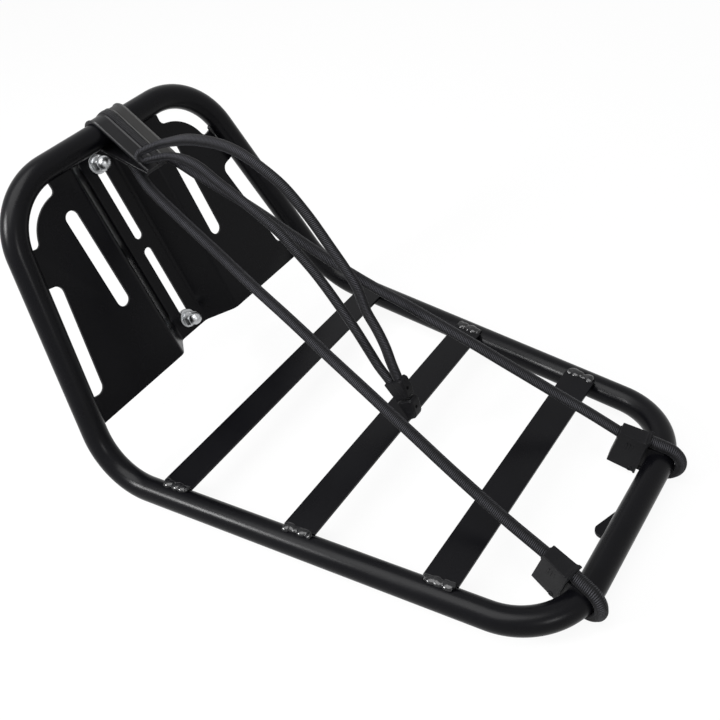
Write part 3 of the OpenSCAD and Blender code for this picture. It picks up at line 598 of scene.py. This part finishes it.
# the cord's loop round the end rail, from the flange's upper edge to its lower edge
def makeLoop(name, x, pitch, node):
    rail, way, _, up = clipPlace(x, pitch)
    a = np.linspace(math.pi / 2, -math.pi / 2, 60)
    legs = np.linspace(-clipShape["stand"], 0, 14)[:-1]
    level = np.full(len(legs), loopR)
    high = np.concatenate([level, loopR * np.sin(a), -level])
    ahead = np.concatenate([legs, loopR * np.cos(a), legs[::-1]])
    path = rail + high[:, None] * up + ahead[:, None] * way
    outward = unit(np.stack([high, np.maximum(ahead, 0)], axis=1))
    wish = outward[:, :1] * up + outward[:, 1:] * way
    thick = loopR - tubeShape["radius"] - clipShape["fit"]
    section = cordSection() * (1, 2 * thick / cordShape["high"])
    # pressed on the rail: the inner half is squared off
    inner = -thick * (np.abs(np.minimum(section[:, 1], 0)) / thick) ** clipShape["pressed"]
    section[:, 1] = np.where(section[:, 1] < 0, np.maximum(inner, -thick), section[:, 1])
    piece = makePiece(name, *carryAlong(path, section, wish), sharpAngle=80)
    finishPiece(piece, braid, "cord_braid", node)


centreTurn = makeTurn()
makeLoop("nearLoop", *clipShape["near"], "near_loop")
makeLoop("farLoop", *clipShape["far"], "far_loop")
print("cord loops made")


# a block from a profile in two directions, carried across a third one, with its edges bevelled
def bevelledBlock(name, origin, axisA, axisB, across, profile, low, high, bevel, segments=3):
    profile = np.asarray(profile, float)
    base = origin + profile[:, :1] * axisA + profile[:, 1:] * axisB
    low, high = (np.broadcast_to(np.asarray(v, float), (len(profile),)) for v in (low, high))
    points = np.vstack([base + low[:, None] * across, base + high[:, None] * across])
    n = len(profile)
    faces = gridFaces(2, n) + [list(range(n))[::-1], [n + k for k in range(n)]]
    piece = makePiece(name, points, faces)
    outwards(piece)
    soften(piece, bevel, segments)
    return piece


def outwards(piece):
    work = bmesh.new()
    work.from_mesh(piece.data)
    bmesh.ops.recalc_face_normals(work, faces=work.faces)
    work.to_mesh(piece.data)
    work.free()


# a piece from its points and faces, with its faces turned outwards
def solidPiece(name, form, sharpAngle, material, slotName, *nodes):
    piece = makePiece(name, *form, sharpAngle=sharpAngle)
    outwards(piece)
    return finishPiece(piece, material, slotName, *nodes)


softAngle = 30


# a live bevel on edges sharper than softAngle, in degrees
def soften(piece, width, segments=2):
    bevel = piece.modifiers.new("softEdges", "BEVEL")
    bevel.width = width * mm
    bevel.segments = segments
    bevel.limit_method = "ANGLE"
    bevel.angle_limit = math.radians(softAngle)
    bevel.harden_normals = True
    bevel.use_clamp_overlap = True


# a ring or other turned form: rows of (radius, height), and six flats where a piece asks for them
def turnedForm(origin, axis, start, rows, flats=None, sides=96):
    axis, start = unit(axis), unit(start)
    third = np.cross(axis, start)
    a = np.arange(sides) * 2 * math.pi / sides
    ring = np.cos(a)[:, None] * start + np.sin(a)[:, None] * third
    rows = np.asarray(rows, float)
    reach = np.broadcast_to(rows[:, :1], (len(rows), sides)).copy()
    if flats is not None:
        hexR = flats / 2 / np.cos((a + math.pi / 6) % (math.pi / 3) - math.pi / 6)
        reach = np.minimum(reach, hexR)
    points = origin + ring[None] * reach[..., None] + rows[:, 1][:, None, None] * axis
    return points.reshape(-1, 3), gridFaces(len(rows), sides)


# the same form with its first and last rows closed by a face each
def closedForm(*form, sides=96):
    points, faces = turnedForm(*form, sides=sides)
    last = len(points) - sides
    return points, faces + [list(range(sides))[::-1], [last + k for k in range(sides)]]


# the clip's body, tapered in both directions; its upper edge sweeps up into the flange's tip
def makeClipBody(name, face, way, side, up, node):
    c = clipShape
    back = -c["flangeT"]
    sweep = [(back - c["flare"] * (1 - math.sin(t)), c["rise"] + c["flare"] * (1 - math.cos(t)))
             for t in np.linspace(0, c["flareTurn"], 7)]
    profile = [(-c["topLen"], c["rise"])] + sweep + [
        (back / 2, sweep[-1][1]), (back / 2, -c["drop"]), (-c["bottomLen"], -c["drop"]),
        (-c["topLen"], c["entry"] - c["entryLow"])]
    slope = (c["wideAtFlange"] - c["wide"]) / 2 / (c["topLen"] + back)
    half = np.array([c["wide"] / 2 + slope * (c["topLen"] + a) for a, _ in profile])
    piece = bevelledBlock(name, face, way, up, side, profile, -half, half, c["bevel"])
    finishPiece(piece, plastic, "clip_plastic", node)


# the flange: its middle bows away from the rail and its two tips turn out towards the loop
def makeClipFlange(name, face, way, side, up):
    c = clipShape
    top, foot = c["rise"] + c["flare"], -c["drop"] - c["step"]
    u, v = np.meshgrid(np.linspace(-1, 1, 41), np.linspace(-1, 1, 15), indexing="ij")
    ahead = -c["flangeT"] / 2 + c["flareOut"] * np.abs(u) ** 7 - c["flangeBow"] * (1 - v**2)
    across = v * (c["flangeW"] / 2 - c["flangeSoft"]) * (1 - c["tipNarrow"] * np.abs(u) ** 8)
    high = (top + foot) / 2 + u * (top - foot) / 2
    shell = face + ahead[..., None] * way + high[..., None] * up + across[..., None] * side
    flange = makePiece(name, shell.reshape(-1, 3), gridFaces(*u.shape, closeCols=False))
    wall = flange.modifiers.new("wall", "SOLIDIFY")
    wall.thickness = c["flangeWall"] * mm
    wall.offset = 0
    soften(flange, c["flangeSoft"])
    finishPiece(flange, plastic, "clip_plastic")


# the saddle reaches forward from the flange to the rail's crown and underside
def makeClipSaddle(name, face, way, side, up):
    c = clipShape
    inner = tubeShape["radius"] + c["fit"]
    hollow = [(c["stand"] - inner * math.cos(t), inner * math.sin(t))
              for t in np.linspace(-math.pi / 2, math.pi / 2, 33)]
    outline = [(-c["flangeT"] / 2, -inner)] + hollow + [(-c["flangeT"] / 2, inner)]
    half = c["saddleW"] / 2
    block = bevelledBlock(name, face, way, up, side, outline, -half, half, c["saddleSoft"], 2)
    finishPiece(block, plastic, "clip_plastic")


# in millimetres: the collar round the cord's entry, the rivet's rim low on each side, and three ribs
clipTrim = {
    "collar": (5.1, 4.2), "collarR": 0.9, "rivetAt": (-5.2, 2.6), "rivetSink": 0.35, "rivetR": 1.9,
    "rivetRim": 0.7, "ribAt": (-13, 6.0), "ribPitch": 2.6, "ribOut": 0.55, "ribHalf": 3.2, "ribR": 0.5,
}


def makeClipTrim(name, face, entry, way, side, up):
    c, d = clipShape, clipTrim
    t = np.linspace(0, 2 * math.pi, 49)[:-1]
    cosine, sine = np.cos(t)[:, None], np.sin(t)[:, None]
    collar = entry + d["collar"][0] * cosine * side + d["collar"][1] * sine * up
    parts = [carryAlong(collar, circle(d["collarR"], 16), None, closed=True)]
    for s in (-1, 1):
        skin = s * (c["wideAtFlange"] / 2 - d["rivetSink"]) * side
        rivet = face + d["rivetAt"][0] * way - (c["drop"] - d["rivetAt"][1]) * up + skin
        rim = rivet + d["rivetR"] * (cosine * way + sine * up)
        parts.append(carryAlong(rim, circle(d["rivetRim"], 14), None, closed=True))
        for k in (-1, 0, 1):
            skin = s * (c["wide"] / 2 + d["ribOut"]) * side
            middle = face + (d["ribAt"][0] + d["ribPitch"] * k) * way + d["ribAt"][1] * up + skin
            rib = middle + np.linspace(-d["ribHalf"], d["ribHalf"], 9)[:, None] * up
            parts.append(carryAlong(rib, circle(d["ribR"], 10), side))
    solidPiece(name, gather(parts), 40, plastic, "clip_plastic")


def makeClip(name, x, pitch, node):
    rail, way, side, up = clipPlace(x, pitch)
    face = rail - clipShape["stand"] * way
    makeClipBody(name, face, way, side, up, node)
    makeClipFlange(name + "Flange", face, way, side, up)
    makeClipSaddle(name + "Saddle", face, way, side, up)
    makeClipTrim(name + "Details", face, clipEntry(x, pitch), way, side, up)


makeClip("nearClip", *clipShape["near"], "near_clip")
makeClip("farClip", *clipShape["far"], "far_clip")


# the centre clip: two rounded blocks one below the other, each with a raised cheek and a pin hole; each
# hole is painted shade, a near-black disc set into the face
def makeCentreClip():
    c = centreClipShape
    axes = (centreEntry(0), clipDown, clipRise, sideways)
    half = c["wide"] / 2
    blocks, cheeks = [], []
    for name, node, key in (("centreClip", "centre_clip", "block"), ("centreHook", "centre_hook", "hook")):
        block = bevelledBlock(name, *axes, c[key], -half, half, c["bevel"], 4)
        blocks.append(finishPiece(block, plastic, "clip_plastic", node))
        cheek = bevelledBlock(name + "Cheek", *axes, c[key + "Cheek"], -half - c["cheek"], 0,
                              c["cheekBevel"], 4)
        cheeks.append(finishPiece(cheek, plastic, "clip_plastic"))
    # the pin holes are not cut: each is a near-black disc of painted shade, sunk into the face and
    # standing just proud of it
    front = unit(c["holeShadeFaces"][0] * clipDown + c["holeShadeFaces"][1] * clipRise)
    rows = [(c["holeShadeR"], h) for h in c["holeShadeEnds"]]
    places = [axes[0] + (at[0] - c["x"]) * sideways + at[1] * clipDown + at[2] * clipRise
              for at in c["holeShades"]]
    holeShades = gather([closedForm(p, front, sideways, rows) for p in places])[:2]
    return blocks + cheeks + [solidPiece("centreClipHoleShades", holeShades, 40, holeShadeBlack, "clip_plastic")]


centreClipPieces = makeCentreClip()
print("clips made")

sideways = (1, 0, 0)
aboveSlope = np.cross(sideways, (0, -0.95, -0.3))
makeCord("nearCord", nearRoute, aboveSlope, "near_cord")
makeCord("farCord", farRoute, aboveSlope, "far_cord")
makeCord("centreCordUpper", upperRoute, sideways, "centre_cord_upper",
         cordShape["turnShare"])
makeCord("centreCordLower", lowerRoute, sideways, "centre_cord_lower",
         cordShape["turnShare"])
print("cords made")


# the tube's centre line: straights between corner bends, each bend an arc between its two tangent points
def tubeLine():
    s = tubeShape
    corners = np.array([
        (-s["endW"] / 2, s["endY"], s["tubeZ"]), (s["endW"] / 2, s["endY"], s["tubeZ"]),
        (s["foldW"] / 2, foldY, s["tubeZ"]), (s["topW"] / 2, barMid[1], barMid[2]),
        (-s["topW"] / 2, barMid[1], barMid[2]), (-s["foldW"] / 2, foldY, s["tubeZ"])])
    bends = [s["endBend"], s["endBend"], s["foldBend"], s["topBend"], s["topBend"], s["foldBend"]]
    arcs = []
    for k, r in enumerate(bends):
        arrive = unit(corners[k] - corners[k - 1])
        leave = unit(corners[(k + 1) % 6] - corners[k])
        turn = math.acos(float(arrive @ leave))
        start = corners[k] - r * math.tan(turn / 2) * arrive
        inward = unit(leave - arrive * float(arrive @ leave))
        a = np.linspace(0, turn, s["arcSteps"])[:, None]
        arcs.append(start + r * (np.sin(a) * arrive + (1 - np.cos(a)) * inward))
    line = []
    for k, arc in enumerate(arcs):
        line.append(arc)
        ahead = arcs[(k + 1) % 6][0]
        count = max(2, int(np.linalg.norm(ahead - arc[-1]) / s["step"]))
        line.append(arc[-1] + np.linspace(0, 1, count + 1)[1:-1, None] * (ahead - arc[-1]))
    return np.vstack(line)


# carries a round section round a closed line, with the leftover twist shared along it
def makeTube():
    path = tubeLine()
    way, side, up = pathFrames(path, None, closed=True)
    last = up[-1] - (up[-1] @ way[0]) * way[0]
    twist = math.atan2(float(last @ side[0]), float(last @ up[0]))
    share = -twist * np.arange(len(path)) / len(path)
    a = np.arange(tubeShape["sides"]) * 2 * math.pi / tubeShape["sides"]
    angle = a[None] + share[:, None]
    section = np.stack([np.cos(angle), np.sin(angle)], axis=-1) * tubeShape["radius"]
    points = path[:, None] + side[:, None] * section[..., :1] + up[:, None] * section[..., 1:]
    faces = gridFaces(len(path), tubeShape["sides"], True)
    solidPiece("frameTube", (points.reshape(-1, 3), faces), 60, paint, "powder_coat", "frame_tube")


makeTube()
print("tube made")


# how a solid's own mesh is copied: doubles merged, flats dissolved, and its edges softened
copyShape = {"merge": 1e-6, "flat": 0.5, "sharp": 30, "soft": 0.5}


def softCopy(node, name):
    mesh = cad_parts[node].data.copy()
    work = bmesh.new()
    work.from_mesh(mesh)
    bmesh.ops.remove_doubles(work, verts=work.verts, dist=copyShape["merge"])
    bmesh.ops.dissolve_limit(work, angle_limit=math.radians(copyShape["flat"]), verts=work.verts,
                             edges=work.edges)
    work.to_mesh(mesh)
    work.free()
    mesh.materials.clear()
    mesh.shade_smooth()
    mesh.set_sharp_from_angle(angle=math.radians(copyShape["sharp"]))
    piece = addObject(name, mesh)
    soften(piece, copyShape["soft"])
    finishPiece(piece, paint, "powder_coat", node)


softCopy("back_plate", "backPlate")
for k in (1, 2, 3):
    softCopy(f"slat_{k}", f"slat{k}")

# the tab under the end rail: a round nose off the middle, with a straight flank on its right
tabShape = {
    "noseX": -9.3, "noseY": -78.4, "noseR": 6.9, "noseTurn": 84, "flankX": 15.5, "flankY": -80.6,
    "footY": -88, "low": -23.09, "high": -20.09, "soft": 0.5,
}


def makeEndTab():
    t = tabShape
    nose = [(t["noseX"] + t["noseR"] * math.cos(a), t["noseY"] + t["noseR"] * math.sin(a))
            for a in np.linspace(math.pi, math.radians(t["noseTurn"]), 24)]
    outline = [(t["noseX"] - t["noseR"], t["footY"])] + nose + [
        (t["flankX"], t["flankY"]), (t["flankX"], t["footY"])]
    tab = bevelledBlock("endTab", np.zeros(3), *np.eye(3), outline, t["low"], t["high"], t["soft"])
    finishPiece(tab, paint, "powder_coat", "end_tab")


makeEndTab()
print("plate, slats and tab made")

# where the slats lie, and the welds on them, on the plate and on the tab, in millimetres;
# a bead is its half width and its half height
slatShape = {"pitch": 120.5, "wide": 28, "inset": 6.2}
weldShape = {
    "ripple": 13.0, "swell": 0.4, "drift": 0.09, "endLen": 1.6, "endLeast": 0.04, "sides": 20,
    "slatBead": (3.4, 2.2), "lap": 1.0, "slatOut": 1.4, "slatUp": -1.0, "wander": 0.35, "wanderPace": 0.9,
    "plateBead": (2.2, 1.6), "plateRuns": ((43, 66), (171, 203)), "plateDeep": 4.0,
    "tabBead": (1.8, 1.4), "tabHalf": 14, "tabUp": 3.0, "tabOut": 0.3, "tabFaces": (0, 0.7, 0.7),
}


# a weld bead along a line: an oval section whose size swells and dips with every ripple of the weld
def beadAlong(path, out, seed, bead):
    w = weldShape
    path = np.asarray(path, float)
    along = pathLength(path)
    rng = np.random.default_rng(seed)
    drift = np.interp(along, np.linspace(0, along[-1], 7), rng.normal(0, w["drift"], 7))
    ripple = w["swell"] * np.abs(np.sin(math.pi * along / w["ripple"] + rng.uniform(0, 3)))
    toEnd = np.minimum(along, along[-1] - along) / w["endLen"]
    size = (1 + drift + ripple) * np.sqrt(np.clip(toEnd, w["endLeast"], 1))
    section = (circle(1.0, w["sides"]) * bead)[None] * size[:, None, None]
    return carryAlong(path, section, out)


def makeSlatWelds():
    w, parts = weldShape, []
    for k in range(3):
        for s in (-1, 1):
            y = slatShape["pitch"] * k + np.linspace(-1, 1, 81) * (slatShape["wide"] / 2 - w["lap"])
            rail = tubeShape["endW"] / 2 + (y - tubeShape["endY"]) * math.tan(splay)
            x = s * (rail - slatShape["inset"] / math.cos(splay) + w["slatOut"])
            wander = w["wander"] * np.sin(y * w["wanderPace"] + k + s)
            path = np.stack([x + wander, y, np.full_like(y, w["slatUp"])], axis=1)
            parts.append(beadAlong(path, (0, 0, 1), 10 * k + s + 5, w["slatBead"]))
    solidPiece("slatWelds", gather(parts), 70, weldPaint, "powder_coat", "slat_welds")


# two runs on each side where the plate's edge meets the tube, and one where the tab meets the end rail
def makePlateWelds():
    w, parts = weldShape, []
    r = tubeShape["radius"]
    edge = math.sqrt(r**2 - w["plateDeep"] ** 2)
    for s in (-1, 1):
        for index, (low, high) in enumerate(w["plateRuns"]):
            v = np.linspace(low, high, 90)
            x = s * (tubeShape["foldW"] / 2 - v * math.tan(lean) - edge * math.cos(lean))
            path = np.array([onBack(a, b, -w["plateDeep"]) for a, b in zip(x, v)])
            parts.append(beadAlong(path, backOut, 41 + index + s, w["plateBead"]))
    x = np.linspace(-w["tabHalf"], w["tabHalf"], 70)
    y = tubeShape["endY"] + math.sqrt(r**2 - (r - w["tabUp"]) ** 2) + w["tabOut"]
    z = tubeShape["tubeZ"] - r + w["tabUp"]
    path = np.stack([x, np.full_like(x, y), np.full_like(x, z)], axis=1)
    parts.append(beadAlong(path, w["tabFaces"], 77, w["tabBead"]))
    solidPiece("plateWelds", gather(parts), 70, weldPaint, "powder_coat", "plate_welds")


makeSlatWelds()
makePlateWelds()
print("welds made")

# the two fixing bolts, in millimetres; heights count out of the channel's floor, along backOut
boltShape = {
    "places": (("lowerBolt", "lower_bolt", 54.75), ("upperBolt", "upper_bolt", 223.25)),
    "floor": 30.7, "sheet": 2.5, "bolt": 8, "fit": 0.25, "washer": 18, "washerT": 1.6, "edge": 0.3,
    "crown": 0.5, "crownMid": 0.15, "spring": 14, "springT": 2, "springGap": 1.2, "springFrom": -60,
    "springLift": 0.175, "springEdge": 0.2, "springSlack": 0.12, "flats": 13, "nut": 15, "nutHex": 7,
    "dome": 12.2, "cornerOut": 0.1, "cornerLow": 1.0, "cornerHigh": 0.65, "hexTopOut": 0.15,
    "step": 0.05, "tip": 0.02, "head": 5.3, "headDish": (4.6, 5.9), "thread": 0.25, "threadSteps": 60,
    "shankPast": 4, "shankFrom": 1,
}
bore = boltShape["bolt"] / 2 + boltShape["fit"]
hexCorner = boltShape["flats"] / 2 / math.cos(math.pi / 6)


# a flat washer from its lower face up, with its outer edge rounded on top
def washerForm(origin, low):
    b = boltShape
    r, top, edge, crown, mid = b["washer"] / 2, low + b["washerT"], b["edge"], b["crown"], b["crownMid"]
    rows = [(bore, low), (r - edge, low), (r, low + edge), (r, top - crown), (r - mid, top - mid),
            (r - crown, top), (bore + edge, top), (bore, top - edge), (bore, low)]
    return turnedForm(origin, backOut, sideways, rows)


# the spring washer: a square section carried round, its two ends sprung apart in height
def springForm(origin):
    b = boltShape
    radius = b["spring"] / 2
    gap = b["springGap"] / radius
    a = np.linspace(gap / 2, 2 * math.pi - gap / 2, 90) + math.radians(b["springFrom"])
    high = b["washerT"] + b["springT"] / 2 + b["springLift"] * np.linspace(-1, 1, 90)
    third = np.cross(backOut, sideways)
    path = (origin + (radius + bore) / 2 * (np.cos(a)[:, None] * sideways + np.sin(a)[:, None] * third)
            + high[:, None] * backOut)
    w, h, e = (radius - bore) / 2, b["springT"] / 2 - b["springSlack"], b["springEdge"]
    section = [(e - w, -h), (w - e, -h), (w, e - h), (w, h - e), (w - e, h), (e - w, h), (-w, h - e),
               (-w, e - h)]
    return carryAlong(path, np.array(section), backOut)[:2]


# the dome nut: a chamfered hexagon, a short collar and a half-round dome
def nutForm(origin):
    b = boltShape
    low = b["washerT"] + b["springT"]
    hexTop, dome, corner = low + b["nutHex"], b["dome"] / 2, hexCorner + b["cornerOut"]
    domeLow = low + b["nut"] - dome
    rows = [(bore, low), (hexCorner - b["cornerLow"], low), (corner, low + b["cornerHigh"]),
            (corner, hexTop - b["cornerHigh"]), (b["flats"] / 2 + b["hexTopOut"], hexTop),
            (dome, hexTop + b["step"]), (dome, domeLow)]
    rows += [(max(dome * math.cos(t), b["tip"]), domeLow + dome * math.sin(t))
             for t in np.linspace(0, math.pi / 2, 22)[1:]]
    return closedForm(origin, backOut, sideways, rows, b["flats"])


# the bolt: a hexagon head behind the rear washer, and a threaded shank up into the nut
def boltForm(origin):
    b = boltShape
    top = -b["sheet"] - b["washerT"]
    low, corner, r = top - b["head"], hexCorner + b["cornerOut"], b["bolt"] / 2
    rows = [(b["tip"], low), (b["headDish"][0], low), (b["headDish"][1], low),
            (corner, low + b["cornerLow"]), (corner, top - b["edge"]), (hexCorner - b["edge"], top)]
    head = closedForm(origin, backOut, sideways, rows, b["flats"])
    heights = np.linspace(top, b["washerT"] + b["springT"] + b["shankPast"], b["threadSteps"])
    thread = [(r - b["thread"] * (k % 2), h) for k, h in enumerate(heights)]
    shank = closedForm(origin, backOut, sideways, [(r, top - b["shankFrom"])] + thread)
    return gather([head, shank])[:2]


def makeFasteners():
    b = boltShape
    origins = []
    for name, node, high in b["places"]:
        origins.append(onBack(0, high, -b["floor"]))
        solidPiece(name, boltForm(origins[-1]), 25, zinc, "zinc", node)
    rear = -b["sheet"] - b["washerT"]
    for name, node, forms in (
            ("frontWashers", "front_washers", [washerForm(o, 0.0) for o in origins]),
            ("rearWashers", "rear_washers", [washerForm(o, rear) for o in origins]),
            ("springWashers", "spring_washers", [springForm(o) for o in origins]),
            ("domeNuts", "dome_nuts", [nutForm(o) for o in origins])):
        solidPiece(name, gather(forms)[:2], 25, zinc, "zinc", node)


makeFasteners()
print("fasteners made")


# the strap's own line, from its end over the bar and back: two straights that touch a circle round the bar
def strapLine(extra=0.0):
    s = strapShape
    big = tubeShape["radius"] + s["thick"] / 2 + extra
    small = s["thick"] / 2
    a = math.acos((big - small) / s["reach"])
    arc = np.linspace(a, 2 * math.pi - a, 60)
    ring = np.stack([big * np.cos(arc), big * np.sin(arc)], axis=1)
    tip = np.array([s["reach"] + small * math.cos(a), small * math.sin(a)])
    out = np.linspace(0, 1, 36)[:-1, None]
    upper = tip + out * (ring[0] - tip)
    lower = (tip + out * (ring[-1] * (1, -1) - tip))[::-1] * (1, -1)
    return np.vstack([upper, ring, lower])


# a band: its thin section, crowned or with a rib at each edge, carried along the strap's line
def makeBand(name, left, wide, node, material, slotName, ribs=False, crown=0.0, outset=0.0):
    s = strapShape
    line = strapLine(outset)
    path = barMid + [left + wide / 2, 0, 0] + line[:, :1] * strapAlong + line[:, 1:] * strapUp
    half, t, e = wide / 2, s["thick"] / 2, s["edge"]
    x = np.linspace(-half + e, half - e, 29)
    top = t + crown * (1 - (x / half) ** 2)
    if ribs:
        top = top + s["ribHigh"] * np.exp(-(((np.abs(x) - half + s["ribMid"]) / s["ribSpread"]) ** 2))
    upper = np.stack([x, top], axis=1)
    a = np.linspace(0.2, math.pi - 0.2, 7)
    right = np.stack([half - e + e * np.sin(a), np.interp(e * np.cos(a), [-e, e], [-t, t])], axis=1)
    under = np.stack([np.linspace(half - e, -half + e, 9), np.full(9, -t)], axis=1)
    section = np.vstack([upper, right, under, right[::-1] * (-1, 1)])[::-1]
    outward = np.cross(pathFrames(path)[0], sideways)
    solidPiece(name, carryAlong(path, section, -outward), 50, material, slotName, node)


makeBand("strapBandLeft", strapShape["from"], strapShape["leftW"], "strap_band_left", rubber,
         "band_rubber", ribs=True)
makeBand("strapBandWoven", wovenFrom, strapShape["wovenW"], "strap_band_woven", tape, "woven_tape",
         crown=0.5, outset=1.2)
makeBand("strapBandRight", rightFrom, strapShape["rightW"], "strap_band_right", dullRubber,
         "band_rubber", ribs=True, outset=0.6)
print("strap made")

# the room: a pale floor and a white sky, both brighter where the camera or a reflection sees them
roomLook = {
    "floorHalf": 8.0, "floorTone": 0.8, "floorRough": 0.9, "floorGlow": 0.93, "skyLeast": 0.28,
    "skySeen": 0.72,
}
lampAim = (0, 0.1, 0.05)
lamps = {
    "keyLamp": {"place": (-1.05, 0.85, 0.9), "aim": lampAim, "size": (0.32, 0.32), "power": 24},
    "topLamp": {"place": (-0.45, 0.3, 1.6), "aim": lampAim, "size": (1.3, 1.3), "power": 32},
    "backLamp": {"place": (0.7, 1.3, 1.2), "aim": (0, 0.15, 0.1), "size": (1.2, 0.4), "power": 0.8},
    "frontLamp": {"place": (-0.65, -1.15, 0.8), "aim": lampAim, "size": (0.24, 0.24), "power": 4.4},
}


# 1 for rays from the camera, from a shine or through glass, and 0 for all others
def seenShare(tree):
    rays = tree.nodes.new("ShaderNodeLightPath")
    both = maths(tree, "MAXIMUM", rays.outputs["Is Camera Ray"], rays.outputs["Is Glossy Ray"])
    return maths(tree, "MAXIMUM", both, rays.outputs["Is Transmission Ray"])


def makeFloor():
    low, size = cadBox[0][2], roomLook["floorHalf"]
    mesh = bpy.data.meshes.new("floor")
    mesh.from_pydata([(-size, -size, low), (size, -size, low), (size, size, low), (-size, size, low)],
                     [], [(0, 1, 2, 3)])
    addObject("floor", mesh)
    material, tree, shader = newMaterial("paleFloor", {
        "Base Color": (*[roomLook["floorTone"]] * 3, 1), "Roughness": roomLook["floorRough"],
        "Specular IOR Level": 0.0})
    glow = addNode(tree, "ShaderNodeEmission", Color=(1, 1, 1, 1), Strength=1.0)
    mix = tree.nodes.new("ShaderNodeMixShader")
    tree.links.new(maths(tree, "MULTIPLY", seenShare(tree), roomLook["floorGlow"]), mix.inputs[0])
    tree.links.new(shader.outputs[0], mix.inputs[1])
    tree.links.new(glow.outputs[0], mix.inputs[2])
    tree.links.new(mix.outputs[0], tree.nodes["Material Output"].inputs["Surface"])
    mesh.materials.append(material)


def makeSky():
    world = bpy.data.worlds.new("room")
    world.use_nodes = True
    bpy.context.scene.world = world
    tree = world.node_tree
    sky = tree.nodes["Background"]
    sky.inputs["Color"].default_value = (1, 1, 1, 1)
    seen = maths(tree, "MULTIPLY", seenShare(tree), roomLook["skySeen"])
    tree.links.new(maths(tree, "ADD", seen, roomLook["skyLeast"]), sky.inputs["Strength"])


def addLamp(name, lamp):
    data = bpy.data.lights.new(name, "AREA")
    data.shape = "RECTANGLE"
    data.size, data.size_y = lamp["size"]
    data.energy = lamp["power"]
    light = addObject(name, data)
    light.location = lamp["place"]
    aim = Vector(lamp["aim"]) - Vector(lamp["place"])
    light.rotation_euler = aim.to_track_quat("-Z", "Y").to_euler()


makeFloor()
makeSky()
for name, lamp in lamps.items():
    addLamp(name, lamp)
bpy.context.scene.view_settings.view_transform = "Standard"
print("room lit")
